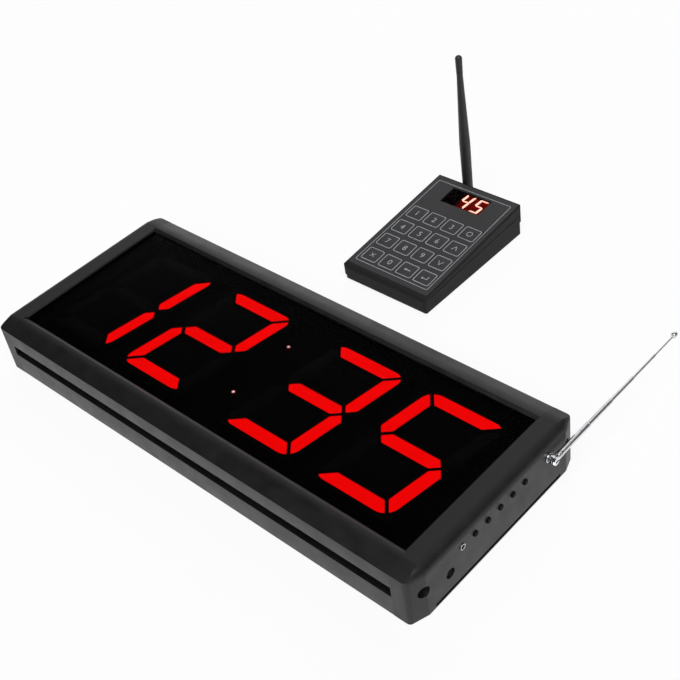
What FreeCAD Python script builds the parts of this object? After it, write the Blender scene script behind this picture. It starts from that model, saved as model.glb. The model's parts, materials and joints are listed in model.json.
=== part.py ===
import FreeCAD, Part
import math
import os
from FreeCAD import Placement, Rotation, Vector

# A wall display for queue numbers, lying on its back, and the keypad transmitter that goes with it.
# X runs along the display in reading direction, Y up the digits, Z out of the display's face.
# The origin is the centre of the display's back, on the table. All lengths are in millimetres.

DOC = FreeCAD.newDocument("number_display_set")
SHEET = DOC.addObject("Spreadsheet::Sheet", "sizes")

FRAME_SIZES = {
    "case_length": 515.0,
    "case_width": 207.8,
    "cap_length": 21.5,
    "frame_width": 22.7,
    "bevel_width": 13.7,
    "lip_width": 3.3,
    "window_height": 52.0,
    "crown_rise": 2.4,
    "crown_soft_radius": 26.0,
    "edge_drop": 5.3,
    "rail_wall": 2.3,
    "slot_bottom": 22.7,
    "slot_height": 10.7,
    "slot_depth": 6.0,
    "channel_wall": 2.0,
    "lip_tip": 0.4,
    "shelf_thickness": 2.0,
    "shelf_overhang": 1.3,
    "rib_thickness": 1.8,
    "board_rib_reach": 9.2,
    "foot_rib_reach": 8.8,
    "foot_rib_thickness": 1.5,
    "groove_play": 0.1,
    "screw_port_height": 30.0,
    "screw_port_inset": 13.9,
    "screw_port_diameter": 7.2,
    "screw_port_web": 2.0,
    "screw_bore": 3.1,
}

WINDOW_SIZES = {
    "window_thickness": 3.0,
    "window_bite": 4.8,
    "window_end_bite": 1.5,
    "window_play": 0.3,
    "back_panel_thickness": 1.2,
    "back_panel_edge_play": 0.7,
    "back_pan_play": 0.5,
}

CAP_SIZES = {
    "cap_wall": 2.4,
    "cap_shoulder": 9.0,
    "cap_heel": 2.0,
    "cap_lip": 1.4,
    "corner_cut_length": 5.4,
    "corner_cut_width": 15.9,
    "corner_radius": 6.0,
    "corner_edge_radius": 2.0,
    "recess_diameter": 11.0,
    "recess_floor_depth": 11.5,
    "recess_wall": 1.6,
    "screw_clearance_hole": 3.5,
    "foot_slot_length": 160.0,
    "foot_slot_bottom": 2.8,
    "foot_slot_height": 2.8,
}

SCREW_SIZES = {
    "screw_shank": 3.0,
    "screw_length": 20.0,
    "screw_head": 6.4,
    "screw_head_height": 2.2,
    "screw_drive_width": 0.9,
    "screw_drive_depth": 1.1,
}

DIGIT_SIZES = {
    "segment_width": 12.8,
    "segment_gap": 3.0,
    "digit_corner_radius": 12.0,
    "reflector_margin": 4.0,
    "reflector_air": 0.3,
    "segment_play": 0.15,
    "segment_depth": 4.0,
    "segment_sink": 0.4,
    "colon_offset": 2.3,
    "colon_lamp_diameter": 5.0,
    "colon_collar_diameter": 5.8,
    "colon_collar_height": 1.0,
    "digit_board_height": 36.4,
    "digit_board_thickness": 1.6,
    "digit_board_end_room": 5.0,
    "digit_board_edge": 8.0,
}

PORT_SIZES = {
    "port_row_height": 38.0,
    "control_board_offset": 12.5,
    "control_board_thickness": 1.6,
    "control_board_bottom": 10.0,
    "control_board_top": 45.0,
    "control_board_margin": 11.0,
    "board_post_diameter": 5.0,
    "board_pin_diameter": 2.4,
    "board_pin_hole": 2.7,
    "board_pin_length": 2.4,
    "board_post_height": 17.0,
    "tact_width": 6.0,
    "tact_height": 3.6,
    "tact_plunger_diameter": 3.4,
    "tact_plunger_height": 0.9,
    "button_hole": 5.6,
    "button_diameter": 5.2,
    "button_flange_diameter": 7.6,
    "button_flange_thickness": 1.0,
    "button_stem_diameter": 3.6,
    "button_stand": 1.4,
    "button_rest_gap": 0.2,
    "button_travel": 0.5,
    "button_tact_gap": 0.2,
    "button_dome": 0.4,
    "power_socket_height": 22.5,
    "power_hole": 9.6,
    "power_bore": 5.6,
    "power_pin": 2.0,
    "power_body_width": 11.0,
    "power_bore_depth": 6.6,
    "audio_bush_diameter": 6.0,
    "audio_bush_hole": 6.4,
    "audio_bush_stand": 0.8,
    "audio_bore": 3.6,
    "audio_body_width": 8.6,
    "chip_width": 14.0,
    "chip_height": 2.0,
}

AERIAL_SIZES = {
    "bush_flange_diameter": 8.8,
    "bush_flange_thickness": 1.0,
    "bush_barrel_diameter": 6.4,
    "bush_hole": 6.6,
    "bush_inner_reach": 3.6,
    "bush_nut_across": 9.0,
    "bush_nut_height": 2.4,
    "post_diameter": 4.0,
    "post_bore": 4.12,
    "post_collar_diameter": 6.0,
    "post_collar_height": 1.2,
    "post_end_play": 0.1,
    "fork_diameter": 7.4,
    "fork_base": 1.3,
    "fork_reach": 2.9,
    "pivot_stand": 3.9,
    "tongue_thickness": 2.8,
    "tongue_play": 0.1,
    "tongue_width": 4.8,
    "pivot_pin_diameter": 1.8,
    "pivot_bore": 1.9,
    "pivot_head_diameter": 2.8,
    "pivot_head_height": 0.4,
    "ferrule_start": 4.5,
    "ferrule_length": 5.0,
    "ferrule_diameter": 5.7,
    "ferrule_ring": 0.35,
    "tube_diameter": 5.0,
    "tube_step": 0.8,
    "tube_wall": 0.25,
    "base_tube_length": 38.5,
    "tube_visible": 33.0,
    "tube_overlap": 3.0,
    "tube_collar_length": 1.5,
    "tube_mouth_length": 1.2,
    "slide_clearance": 0.05,
    "tip_ball": 5.4,
    "tip_ball_length": 4.6,
}

KEYPAD_SIZES = {
    "keypad_centre": -14.0,
    "keypad_front": 176.0,
    "keypad_width": 105.0,
    "keypad_depth": 155.5,
    "keypad_front_height": 20.0,
    "keypad_back_height": 36.0,
    "parting_front_height": 7.4,
    "parting_back_height": 16.4,
    "shell_wall": 2.2,
    "shell_corner_radius": 3.0,
    "shell_front_roll": 5.0,
    "shell_back_roll": 1.2,
    "shell_rim_bevel": 1.3,
    "side_groove_front": 16.6,
    "side_groove_back": 24.2,
    "side_groove_width": 1.0,
    "side_groove_depth": 0.5,
    "lower_inset": 0.8,
    "lower_heel": 3.5,
    "foot_height": 1.2,
    "foot_diameter": 10.0,
    "foot_inset": 16.0,
    "foot_seat_depth": 0.6,
    "faceplate_rim": 2.0,
    "faceplate_thickness": 1.0,
    "faceplate_play": 0.1,
    "faceplate_radius": 2.2,
    "top_plate_thickness": 2.0,
}

KEY_SIZES = {
    "key_gap_across": 2.5,
    "key_gap_along": 5.4,
    "key_radius": 2.6,
    "key_play": 0.15,
    "key_flange": 0.9,
    "key_flange_thickness": 0.9,
    "key_seat_gap": 0.1,
    "key_stem_diameter": 4.0,
    "key_travel": 0.4,
    "switch_width": 6.0,
    "switch_height": 3.4,
    "switch_plunger_diameter": 3.4,
    "switch_plunger_height": 0.8,
    "switch_gap": 0.15,
    "keypad_board_thickness": 1.6,
    "keypad_board_depth": 9.6,
    "keypad_board_play": 1.0,
    "socket_room": 9.0,
    "board_screw_inset": 6.2,
    "shell_boss_diameter": 6.0,
    "shell_screw_hole": 2.6,
}

READOUT_SIZES = {
    "readout_offset": -0.5,
    "readout_ledge": 0.8,
    "readout_play": 0.1,
    "module_play": 0.1,
    "module_air": 0.2,
    "small_segment_width": 2.3,
    "small_segment_gap": 0.3,
    "small_corner_radius": 1.6,
    "small_digit_offset": -0.2,
    "small_digit_rise": 0.4,
    "small_segment_depth": 0.5,
}

WHIP_SIZES = {
    "whip_socket_height": 27.0,
    "whip_axis_stand": 9.9,
    "connector_hole": 6.6,
    "connector_diameter": 6.4,
    "connector_reach_in": 4.6,
    "connector_flange_diameter": 11.0,
    "connector_flange_thickness": 1.4,
    "stub_length": 2.1,
    "connector_stub_diameter": 5.0,
    "knuckle_diameter": 10.4,
    "knuckle_gap": 0.3,
    "knuckle_skirt": 2.6,
    "knuckle_bore": 5.14,
    "knuckle_tongue": 4.0,
    "knuckle_tongue_height": 8.6,
    "trunnion_diameter": 2.6,
    "trunnion_bore": 2.7,
    "whip_diameter": 10.6,
    "whip_belly_diameter": 11.2,
    "whip_neck_diameter": 6.2,
    "whip_tip_diameter": 7.0,
    "whip_slot": 4.3,
    "whip_slot_floor": 6.2,
    "whip_foot": 5.3,
    "whip_belly_height": 50.0,
    "whip_neck_height": 128.0,
    "whip_ring_height": 133.0,
    "whip_tip_height": 150.0,
    "whip_ring_groove": 0.4,
    "keypad_power_height": 24.5,
    "keypad_power_hole": 7.4,
    "keypad_power_body": 9.0,
    "keypad_power_depth": 7.0,
}

GENERAL_SIZES = {
    "overrun": 5.0,
}

TOUCHING = 1e-7
DIGIT_SLANT = 0.154
SMALL_DIGIT_SLANT = 0.14

# The large digits, as shares of the window's width and the rails' length

DIGIT_HEIGHT_SHARE = 0.782
DIGIT_WIDTH_SHARE = 0.1664
DIGIT_PAIR_SHARE = 0.2225
DIGIT_MIDDLE_SHARE = 0.2835
DIGIT_SHIFT_SHARE = -0.0022
COLON_SPACING_SHARE = 0.545

# The port row, as shares of the case's width

PORT_START_SHARE = -0.2175
PORT_PITCH_SHARE = 0.07555

# The keypad's face, as shares of its width and of its panel's length

KEY_PITCH_ACROSS_SHARE = 0.2124
KEY_PITCH_ALONG_SHARE = 0.151
KEY_FIRST_ROW_SHARE = 0.1593
READOUT_WIDTH_SHARE = 0.461
READOUT_LENGTH_SHARE = 0.1471
READOUT_CENTRE_SHARE = 0.857
SMALL_DIGIT_HEIGHT_SHARE = 0.883
SMALL_DIGIT_WIDTH_SHARE = 0.2355
SMALL_DIGIT_PITCH_SHARE = 0.349
WHIP_OFFSET_SHARE = -0.222
KEYPAD_POWER_SHARE = 0.314

SHEET_GROUPS = (
    FRAME_SIZES, WINDOW_SIZES, CAP_SIZES, SCREW_SIZES, DIGIT_SIZES, PORT_SIZES,
    AERIAL_SIZES, KEYPAD_SIZES, KEY_SIZES, READOUT_SIZES, WHIP_SIZES, GENERAL_SIZES,
)


def fill_sheet():
    """Write every driving dimension into the sheet, one row each, with its alias."""
    row = 1
    for group in SHEET_GROUPS:
        for alias, value in group.items():
            SHEET.set("A%d" % row, alias)
            SHEET.set("B%d" % row, str(value))
            SHEET.setAlias("B%d" % row, alias)
            row += 1
    DOC.recompute()


class Sizes:
    """The sheet's values as attributes."""

    def __getattr__(self, alias):
        return float(SHEET.get(alias))


fill_sheet()
D = Sizes()

# Plain outlines and solids


def unit_step(start, end):
    step = end - start
    return step.normalize()


def loop(points):
    """Lines and arcs through (a, b) or (a, b, radius) points, closed, in the local plane."""
    corners = []
    count = len(points)
    places = [Vector(p[0], p[1], 0) for p in points]
    for k, point in enumerate(points):
        here = places[k]
        radius = point[2] if len(point) > 2 else 0
        if not radius:
            corners.append((here, None, here))
            continue
        back = unit_step(here, places[k - 1])
        ahead = unit_step(here, places[(k + 1) % count])
        half = back.getAngle(ahead) / 2
        reach = radius / math.tan(half)
        middle = here + (back + ahead).normalize() * (radius / math.sin(half) - radius)
        corners.append((here + back * reach, middle, here + ahead * reach))
    curves = []
    for k, (start, middle, end) in enumerate(corners):
        if middle is not None:
            curves.append(Part.Arc(start, middle, end))
        following = corners[(k + 1) % count][0]
        if (following - end).Length > TOUCHING:
            curves.append(Part.LineSegment(end, following))
    return curves


def face_of(points, axes):
    """Face of a closed outline; axes are the directions of its two coordinates."""
    wire = Part.Wire([curve.toShape() for curve in loop(points)])
    across, up = axes
    wire.Placement = Placement(Vector(), Rotation(across, up, across.cross(up), "XYZ"))
    return Part.Face(wire)


X_WAY = Vector(1, 0, 0)
Y_WAY = Vector(0, 1, 0)
Z_WAY = Vector(0, 0, 1)


def along_x(points, start, end):
    """Prism whose outline is given in (y, z)."""
    face = face_of(points, (Y_WAY, Z_WAY))
    face.translate(X_WAY * start)
    return face.extrude(X_WAY * (end - start))


def along_y(points, start, end):
    """Prism whose outline is given in (x, z)."""
    face = face_of(points, (X_WAY, Z_WAY))
    face.translate(Y_WAY * start)
    return face.extrude(Y_WAY * (end - start))


def along_z(points, start, end):
    """Prism whose outline is given in (x, y)."""
    face = face_of(points, (X_WAY, Y_WAY))
    face.translate(Z_WAY * start)
    return face.extrude(Z_WAY * (end - start))


def block(low, high):
    """Box between two corners."""
    span = Vector(*high) - Vector(*low)
    return Part.makeBox(span.x, span.y, span.z, Vector(*low))


def rod(diameter, start, way, length):
    return Part.makeCylinder(diameter / 2, length, start, way)


def turned(stations, origin, way):
    """Solid of revolution about a line; stations are (distance along it, radius)."""
    points = [Vector(0, 0, 0)]
    points[0].z = stations[0][0]
    for distance, radius in stations:
        points.append(Vector(radius, 0, distance))
    points.append(Vector(0, 0, stations[-1][0]))
    trimmed = [p for k, p in enumerate(points) if not k or (p - points[k - 1]).Length > TOUCHING]
    profile = Part.Face(Part.makePolygon(trimmed + trimmed[:1]))
    solid = profile.revolve(Vector(), Z_WAY, 360)
    solid.Placement = Placement(origin, Rotation(Z_WAY, way))
    return solid


def rounded_box_outline(width, length, radius, centre=(0, 0)):
    """Rectangle with rounded corners, as points for a prism."""
    a = width / 2
    b = length / 2
    x, y = centre
    return [(x - a, y - b, radius), (x + a, y - b, radius), (x + a, y + b, radius), (x - a, y + b, radius)]


def inset(points, distance):
    """Move each side of a closed outline, given counter-clockwise, inwards by a distance."""
    places = [Vector(p[0], p[1], 0) for p in points]
    count = len(places)
    moved = []
    for k, here in enumerate(places):
        arriving = unit_step(places[k - 1], here)
        leaving = unit_step(here, places[(k + 1) % count])
        first = Z_WAY.cross(arriving)
        second = Z_WAY.cross(leaving)
        shift = (first + second) * (distance / (1 + first.dot(second)))
        moved.append((here.x + shift.x, here.y + shift.y))
    return moved


def mirrored(shape, way):
    return shape.mirror(Vector(), way)


def fused(shapes):
    result = shapes[0].fuse(list(shapes[1:])) if len(shapes) > 1 else shapes[0]
    return result.removeSplitter()


def part_feature(label, shape, placement=None):
    """A sub-part whose shape is set directly; the placement comes after the shape."""
    feature = DOC.addObject("Part::Feature", label)
    feature.Label = label
    feature.Shape = shape
    if placement is not None:
        feature.Placement = placement
    PARTS.append(feature)
    return feature


PARTS = []

# Parametric features bound to the sheet


def bind(feature, **formulas):
    """Bind properties to formulas of sheet aliases; a double underscore stands for a dot."""
    for name, formula in formulas.items():
        feature.setExpression(name.replace("__", "."), formula)


def origin_plane(body, role):
    return next(item for item in body.Origin.OriginFeatures if item.Role == role)


def sketch_on(body, name, role, outlines):
    """Sketch of closed outlines on one of the body's own origin planes."""
    sketch = body.newObject("Sketcher::SketchObject", name)
    sketch.AttachmentSupport = (origin_plane(body, role), [""])
    sketch.MapMode = "FlatFace"
    for outline in outlines:
        sketch.addGeometry(outline, False)
    return sketch


def new_body(label):
    body = DOC.addObject("PartDesign::Body", label)
    body.Label = label
    PARTS.append(body)
    return body


def circle(x, y, diameter):
    return [Part.Circle(Vector(x, y, 0), Z_WAY, diameter / 2)]


def pad_on(body, name, role, outlines, length):
    """Pad of outlines on an origin plane; its length is a sheet formula."""
    pad = body.newObject("PartDesign::Pad", name)
    pad.Profile = sketch_on(body, name + "_outline", role, outlines)
    bind(pad, Length=length)
    return pad


def layer_on(body, name, role, outlines, start, length):
    """Pad that starts at a height over an origin plane; start and length are sheet formulas."""
    pad = pad_on(body, name, role, outlines, length)
    bind(pad.Profile[0], AttachmentOffset__Base__z=start)
    return pad


def pocket_in(body, name, role, outlines, start, length):
    """Pocket below a height over an origin plane; start and depth are sheet formulas."""
    pocket = body.newObject("PartDesign::Pocket", name)
    pocket.Profile = sketch_on(body, name + "_outline", role, outlines)
    bind(pocket.Profile[0], AttachmentOffset__Base__z=start)
    bind(pocket, Length=length)
    return pocket


def half_section(stations):
    """Section of a turned piece from axis to axis, as (radius, distance), from its stations."""
    points = [(0, stations[0][0])]
    for distance, radius in stations:
        if math.hypot(radius - points[-1][0], distance - points[-1][1]) > TOUCHING:
            points.append((radius, distance))
    if points[-1][0] > TOUCHING:
        points.append((0, stations[-1][0]))
    return points


def turning_in(body, kind, name, role, section, axis):
    """Revolution or groove of a section, in its plane's own coordinates, about one of its axes."""
    turning = body.newObject("PartDesign::" + kind, name)
    turning.Profile = sketch_on(body, name + "_section", role, [loop(section)])
    turning.ReferenceAxis = (turning.Profile[0], [axis])
    turning.Angle = 360
    return turning


def through_cut(body, name, role, outlines):
    """Pocket right through a body, both ways from an origin plane."""
    cut = body.newObject("PartDesign::Pocket", name)
    cut.Profile = sketch_on(body, name + "_outline", role, outlines)
    cut.Type = "ThroughAll"
    cut.Midplane = True
    return cut


def turned_body(label, section, origin, way):
    """Turned piece: a closed half section revolved about the body's own Z axis, then set on a line."""
    body = new_body(label)
    turning_in(body, "Revolution", label + "_turning", "XZ_Plane", section, "V_Axis")
    body.Placement = Placement(origin, Rotation(Z_WAY, way))
    return body


def socket_body(label, width, length, bore_depth, origin, way):
    """Square power socket: block, blind bore and centre pin; length and bore depth are formulas."""
    body = new_body(label)
    pad_on(body, label + "_block", "XY_Plane", [loop(rounded_box_outline(width, width, 0))], length)
    pocket_in(body, label + "_bore", "XY_Plane", [circle(0, 0, D.power_bore)], length, bore_depth)
    layer_on(body, label + "_pin", "XY_Plane", [circle(0, 0, D.power_pin)],
             length + " - (" + bore_depth + ")", bore_depth + " - sizes.lip_tip")
    body.Placement = Placement(origin, Rotation(Z_WAY, way))
    return body


def primitive(kind, name, placement, **formulas):
    """Part primitive in its place; its sizes are sheet formulas."""
    item = DOC.addObject(kind, name)
    item.Placement = placement
    bind(item, **formulas)
    return item


def grouped(label, items, placement=None):
    """Sub-part of several equal solids, kept together as a compound."""
    group = DOC.addObject("Part::Compound", label)
    group.Label = label
    group.Links = items
    if placement is not None:
        group.Placement = placement
    PARTS.append(group)
    return group


TACT_SWITCH = ("sizes.tact_width", "sizes.tact_height", "sizes.tact_plunger_diameter",
               "sizes.tact_plunger_height")
KEY_SWITCH = ("sizes.switch_width", "sizes.switch_height", "sizes.switch_plunger_diameter",
              "sizes.switch_plunger_height")


def push_switch(name, seat, half, formulas):
    """Square switch with a round plunger, centred on its seat; half is half its width."""
    width, height, diameter, reach = formulas
    corner = seat.multiply(Placement(Vector(-half, -half, 0), Rotation()))
    body = primitive("Part::Box", name + "_body", corner, Length=width, Width=width, Height=height)
    plunger = primitive("Part::Cylinder", name + "_plunger", seat, Radius=diameter + " / 2",
                        Height=height + " + " + reach)
    joined = DOC.addObject("Part::MultiFuse", name)
    joined.Shapes = [body, plunger]
    joined.Refine = True
    return joined


def sheet_body(label, outlines, thickness, height):
    """Flat sheet: a pad of outlines in (x, y), thick and high by sheet formulas."""
    body = new_body(label)
    pad_on(body, label + "_pad", "XY_Plane", outlines, thickness)
    bind(body, Placement__Base__z=height)
    return body


# The display's frame

RAIL_FORMULA = "sizes.case_length - 2 * sizes.cap_length"
HALF_LENGTH = D.case_length / 2
HALF_WIDTH = D.case_width / 2
HALF_RAIL = HALF_LENGTH - D.cap_length
CROWN_HEIGHT = D.window_height + D.crown_rise
EDGE_HEIGHT = CROWN_HEIGHT - D.edge_drop
CROWN_EDGE = HALF_WIDTH - D.bevel_width
WINDOW_EDGE = HALF_WIDTH - D.frame_width
GLASS_EDGE = WINDOW_EDGE + D.window_bite
GROOVE_EDGE = GLASS_EDGE + D.window_play
GLASS_BOTTOM = D.window_height - D.window_thickness
INNER_WALL = HALF_WIDTH - D.rail_wall
DIGIT_BOARD_TOP = D.digit_board_height + D.digit_board_thickness
PORT_Y = HALF_WIDTH - D.screw_port_inset


def rail_outline():
    """Section of the upper rail in (y, z): foot, bracket slot, crown, window groove, ribs."""
    slot_top = D.slot_bottom + D.slot_height
    slot_floor = HALF_WIDTH - D.slot_depth
    channel = slot_floor - D.channel_wall
    shelf_bottom = GLASS_BOTTOM - D.shelf_thickness
    shelf_tip = WINDOW_EDGE + D.shelf_overhang
    rib_tip = INNER_WALL - D.board_rib_reach
    upper_rib = DIGIT_BOARD_TOP + D.groove_play
    foot_tip = HALF_WIDTH - D.foot_rib_reach
    panel_top = D.foot_rib_thickness + D.back_panel_thickness + D.groove_play
    return [
        (HALF_WIDTH, 0), (HALF_WIDTH, D.slot_bottom),
        (slot_floor, D.slot_bottom), (slot_floor, slot_top), (HALF_WIDTH, slot_top),
        (HALF_WIDTH, EDGE_HEIGHT),
        (CROWN_EDGE, CROWN_HEIGHT, D.crown_soft_radius),
        (WINDOW_EDGE + D.lip_width, CROWN_HEIGHT),
        (WINDOW_EDGE, D.window_height + D.lip_tip), (WINDOW_EDGE, D.window_height),
        (GROOVE_EDGE, D.window_height), (GROOVE_EDGE, GLASS_BOTTOM),
        (shelf_tip, GLASS_BOTTOM), (shelf_tip, shelf_bottom), (INNER_WALL, shelf_bottom),
        (INNER_WALL, upper_rib + D.rib_thickness), (rib_tip, upper_rib + D.rib_thickness),
        (rib_tip, upper_rib), (INNER_WALL, upper_rib), (INNER_WALL, D.digit_board_height),
        (rib_tip, D.digit_board_height), (rib_tip, D.digit_board_height - D.rib_thickness),
        (channel, D.digit_board_height - D.rib_thickness), (channel, D.slot_bottom - D.channel_wall),
        (INNER_WALL, D.slot_bottom - D.channel_wall), (INNER_WALL, panel_top + D.foot_rib_thickness),
        (foot_tip, panel_top + D.foot_rib_thickness), (foot_tip, panel_top), (INNER_WALL, panel_top),
        (INNER_WALL, D.foot_rib_thickness), (foot_tip, D.foot_rib_thickness), (foot_tip, 0),
    ]


def rail_chamber():
    """Closed hollow under the crown, which keeps the extrusion's walls even."""
    left = GROOVE_EDGE + D.channel_wall
    ceiling = CROWN_HEIGHT - D.rail_wall
    right = CROWN_EDGE + (ceiling - GLASS_BOTTOM) * D.bevel_width / D.edge_drop
    return [(left, GLASS_BOTTOM), (right, GLASS_BOTTOM), (CROWN_EDGE, ceiling), (left, ceiling)]


def flipped(points, side):
    """Outline of the other side: the first coordinate changes sign."""
    return [(side * p[0],) + tuple(p[1:]) for p in points]


def screw_port_outline():
    """Web that carries the round screw port on the slot's channel."""
    channel = HALF_WIDTH - D.slot_depth - D.channel_wall
    low = D.screw_port_height - D.screw_port_web / 2
    high = low + D.screw_port_web
    return [(PORT_Y, low), (channel, low), (channel, high), (PORT_Y, high)]


def build_rail(label, side):
    """Extruded rail: section, web and round port padded both ways, and the port's bore."""
    body = new_body(label)
    port = (side * PORT_Y, D.screw_port_height)
    features = (
        ("section", [loop(flipped(rail_outline(), side)), loop(flipped(rail_chamber(), side))]),
        ("web", [loop(flipped(screw_port_outline(), side))]),
        ("port", [circle(*port, D.screw_port_diameter)]),
    )
    for name, outlines in features:
        pad = pad_on(body, label + "_" + name, "YZ_Plane", outlines, RAIL_FORMULA)
        pad.Midplane = True
    through_cut(body, label + "_bore", "YZ_Plane", [circle(*port, D.screw_bore)])


def build_window():
    """Acrylic sheet, held in the rails' grooves and under the end caps' lips."""
    length = 2 * (HALF_RAIL + D.window_end_bite)
    outline = loop(rounded_box_outline(length, 2 * GLASS_EDGE, 0))
    sheet_body("front_window", [outline], "sizes.window_thickness",
               "sizes.window_height - sizes.window_thickness")


def build_back_panel():
    """Pressed sheet: its edges run in the rails' lower grooves, its middle is level with their feet."""
    body = new_body("back_panel")
    edge = 2 * (INNER_WALL - D.back_panel_edge_play)
    pan = 2 * (HALF_WIDTH - D.foot_rib_reach - D.back_pan_play)
    wall = 2 * D.back_panel_thickness
    sheet = [loop(rounded_box_outline(2 * HALF_RAIL, edge, 0))]
    flange = pad_on(body, "back_panel_flange", "XY_Plane", sheet, "sizes.back_panel_thickness")
    bind(flange.Profile[0], AttachmentOffset__Base__z="sizes.foot_rib_thickness")
    top = "sizes.foot_rib_thickness + sizes.back_panel_thickness"
    pressed = [loop(rounded_box_outline(2 * HALF_RAIL, pan, 0))]
    pad_on(body, "back_panel_pan", "XY_Plane", pressed, top)
    hollow = [loop(rounded_box_outline(2 * HALF_RAIL - wall, pan - wall, 0))]
    inside = sketch_on(body, "back_panel_inside_outline", "XY_Plane", hollow)
    bind(inside, AttachmentOffset__Base__z=top)
    pocket = body.newObject("PartDesign::Pocket", "back_panel_inside")
    pocket.Profile = inside
    bind(pocket, Length="sizes.foot_rib_thickness")


def build_digit_board():
    width = 2 * (HALF_WIDTH - D.digit_board_edge)
    outline = loop(rounded_box_outline(2 * (HALF_RAIL - D.digit_board_end_room), width, 0))
    sheet_body("digit_board", [outline], "sizes.digit_board_thickness", "sizes.digit_board_height")


# The end caps


def cap_section():
    """The frame's outer silhouette across the display, in (y, z)."""
    soft = D.crown_soft_radius
    return [(-HALF_WIDTH, 0), (HALF_WIDTH, 0), (HALF_WIDTH, EDGE_HEIGHT), (CROWN_EDGE, CROWN_HEIGHT, soft),
            (-CROWN_EDGE, CROWN_HEIGHT, soft), (-HALF_WIDTH, EDGE_HEIGHT)]


def cap_plan(start):
    """Plan of the right cap in (x, y), from its joint with the rails to its end face."""
    cut = HALF_LENGTH - D.corner_cut_length
    flat = HALF_WIDTH - D.corner_cut_width
    return [(start, -HALF_WIDTH), (cut, -HALF_WIDTH, D.corner_radius),
            (HALF_LENGTH, -flat, D.corner_edge_radius), (HALF_LENGTH, flat, D.corner_edge_radius),
            (cut, HALF_WIDTH, D.corner_radius), (start, HALF_WIDTH)]


def cap_side(start):
    """Side view of the right cap in (x, z), with its round shoulder."""
    return [(start, 0), (HALF_LENGTH, 0, D.cap_heel), (HALF_LENGTH, CROWN_HEIGHT, D.cap_shoulder),
            (start, CROWN_HEIGHT)]


def corner_wedge(side, wall):
    """Solid behind one corner facet of the right cap, with the shoulder carried round it."""
    reach = D.case_width
    profile = [(-reach, 0), (0, 0, D.cap_heel), (0, CROWN_HEIGHT, D.cap_shoulder), (-reach, CROWN_HEIGHT)]
    if wall:
        profile = inset(profile, wall)
        profile[2] = profile[2] + (D.cap_shoulder - wall,)
    wedge = along_y(profile, -reach, reach)
    turn = math.degrees(math.atan2(D.corner_cut_length, D.corner_cut_width))
    wedge.rotate(Vector(), Z_WAY, side * turn)
    wedge.translate(Vector(HALF_LENGTH - D.corner_cut_length / 2,
                           side * (HALF_WIDTH - D.corner_cut_width / 2), 0))
    return wedge


def cap_hollow():
    """Inside of the right cap: every outer face moved in by the wall."""
    start = HALF_RAIL - D.overrun
    section = inset(cap_section(), D.cap_wall)
    plan = inset(cap_plan(start - D.cap_wall), D.cap_wall)
    side = inset(cap_side(start - D.cap_wall), D.cap_wall)
    side[2] = side[2] + (D.cap_shoulder - D.cap_wall,)
    hollow = along_x(section, start, HALF_LENGTH)
    hollow = hollow.common(along_z(plan, 0, CROWN_HEIGHT))
    hollow = hollow.common(along_y(side, -HALF_WIDTH, HALF_WIDTH))
    return hollow.common(corner_wedge(-1, D.cap_wall)).common(corner_wedge(1, D.cap_wall))


def cap_outside():
    outside = along_x(cap_section(), HALF_RAIL, HALF_LENGTH)
    outside = outside.common(along_z(cap_plan(HALF_RAIL), 0, CROWN_HEIGHT))
    outside = outside.common(along_y(cap_side(HALF_RAIL), -HALF_WIDTH, HALF_WIDTH))
    return outside.common(corner_wedge(-1, 0)).common(corner_wedge(1, 0))


def cap_shell():
    """Right cap without ports: hollow moulding, lip over the window, bosses for two screws."""
    outside = cap_outside()
    shell = outside.cut(cap_hollow())
    floor = HALF_LENGTH - D.recess_floor_depth
    boss_diameter = D.recess_diameter + 2 * D.recess_wall
    pieces = [shell]
    cuts = []
    for side in (-1, 1):
        axis = Vector(HALF_RAIL, side * PORT_Y, D.screw_port_height)
        boss = rod(boss_diameter, axis, X_WAY, D.cap_length)
        pieces.append(boss.common(outside))
        cuts.append(rod(D.screw_clearance_hole, axis, X_WAY, D.cap_length))
        recess_start = Vector(floor, side * PORT_Y, D.screw_port_height)
        cuts.append(rod(D.recess_diameter, recess_start, X_WAY, D.recess_floor_depth + D.overrun))
    lip_start = HALF_RAIL - D.cap_lip
    bevel = D.cap_lip - D.lip_tip
    lip = along_y([
        (lip_start, D.window_height), (HALF_RAIL + D.lip_tip, D.window_height),
        (HALF_RAIL + D.lip_tip, CROWN_HEIGHT), (lip_start + bevel, CROWN_HEIGHT),
        (lip_start, CROWN_HEIGHT - bevel)], -WINDOW_EDGE, WINDOW_EDGE)
    pieces.append(lip)
    slot = block((HALF_LENGTH - D.cap_wall - D.overrun, -D.foot_slot_length / 2, D.foot_slot_bottom),
                 (HALF_LENGTH + D.overrun, D.foot_slot_length / 2, D.foot_slot_bottom + D.foot_slot_height))
    cuts.append(slot)
    return fused(pieces).cut(cuts)


def port_y(step):
    """Place of a step in the port row, counted from the audio socket."""
    return D.case_width * (PORT_START_SHARE + step * PORT_PITCH_SHARE)


END_FACE_INSIDE = HALF_LENGTH - D.cap_wall
BOARD_FACE = HALF_LENGTH - D.control_board_offset + D.control_board_thickness
BUTTON_STEPS = (1, 2, 3, 4, 5)
AERIAL_STEP = 7
POST_STEPS = (-1.75, 5.9)
AERIAL_Y = port_y(AERIAL_STEP)


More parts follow.
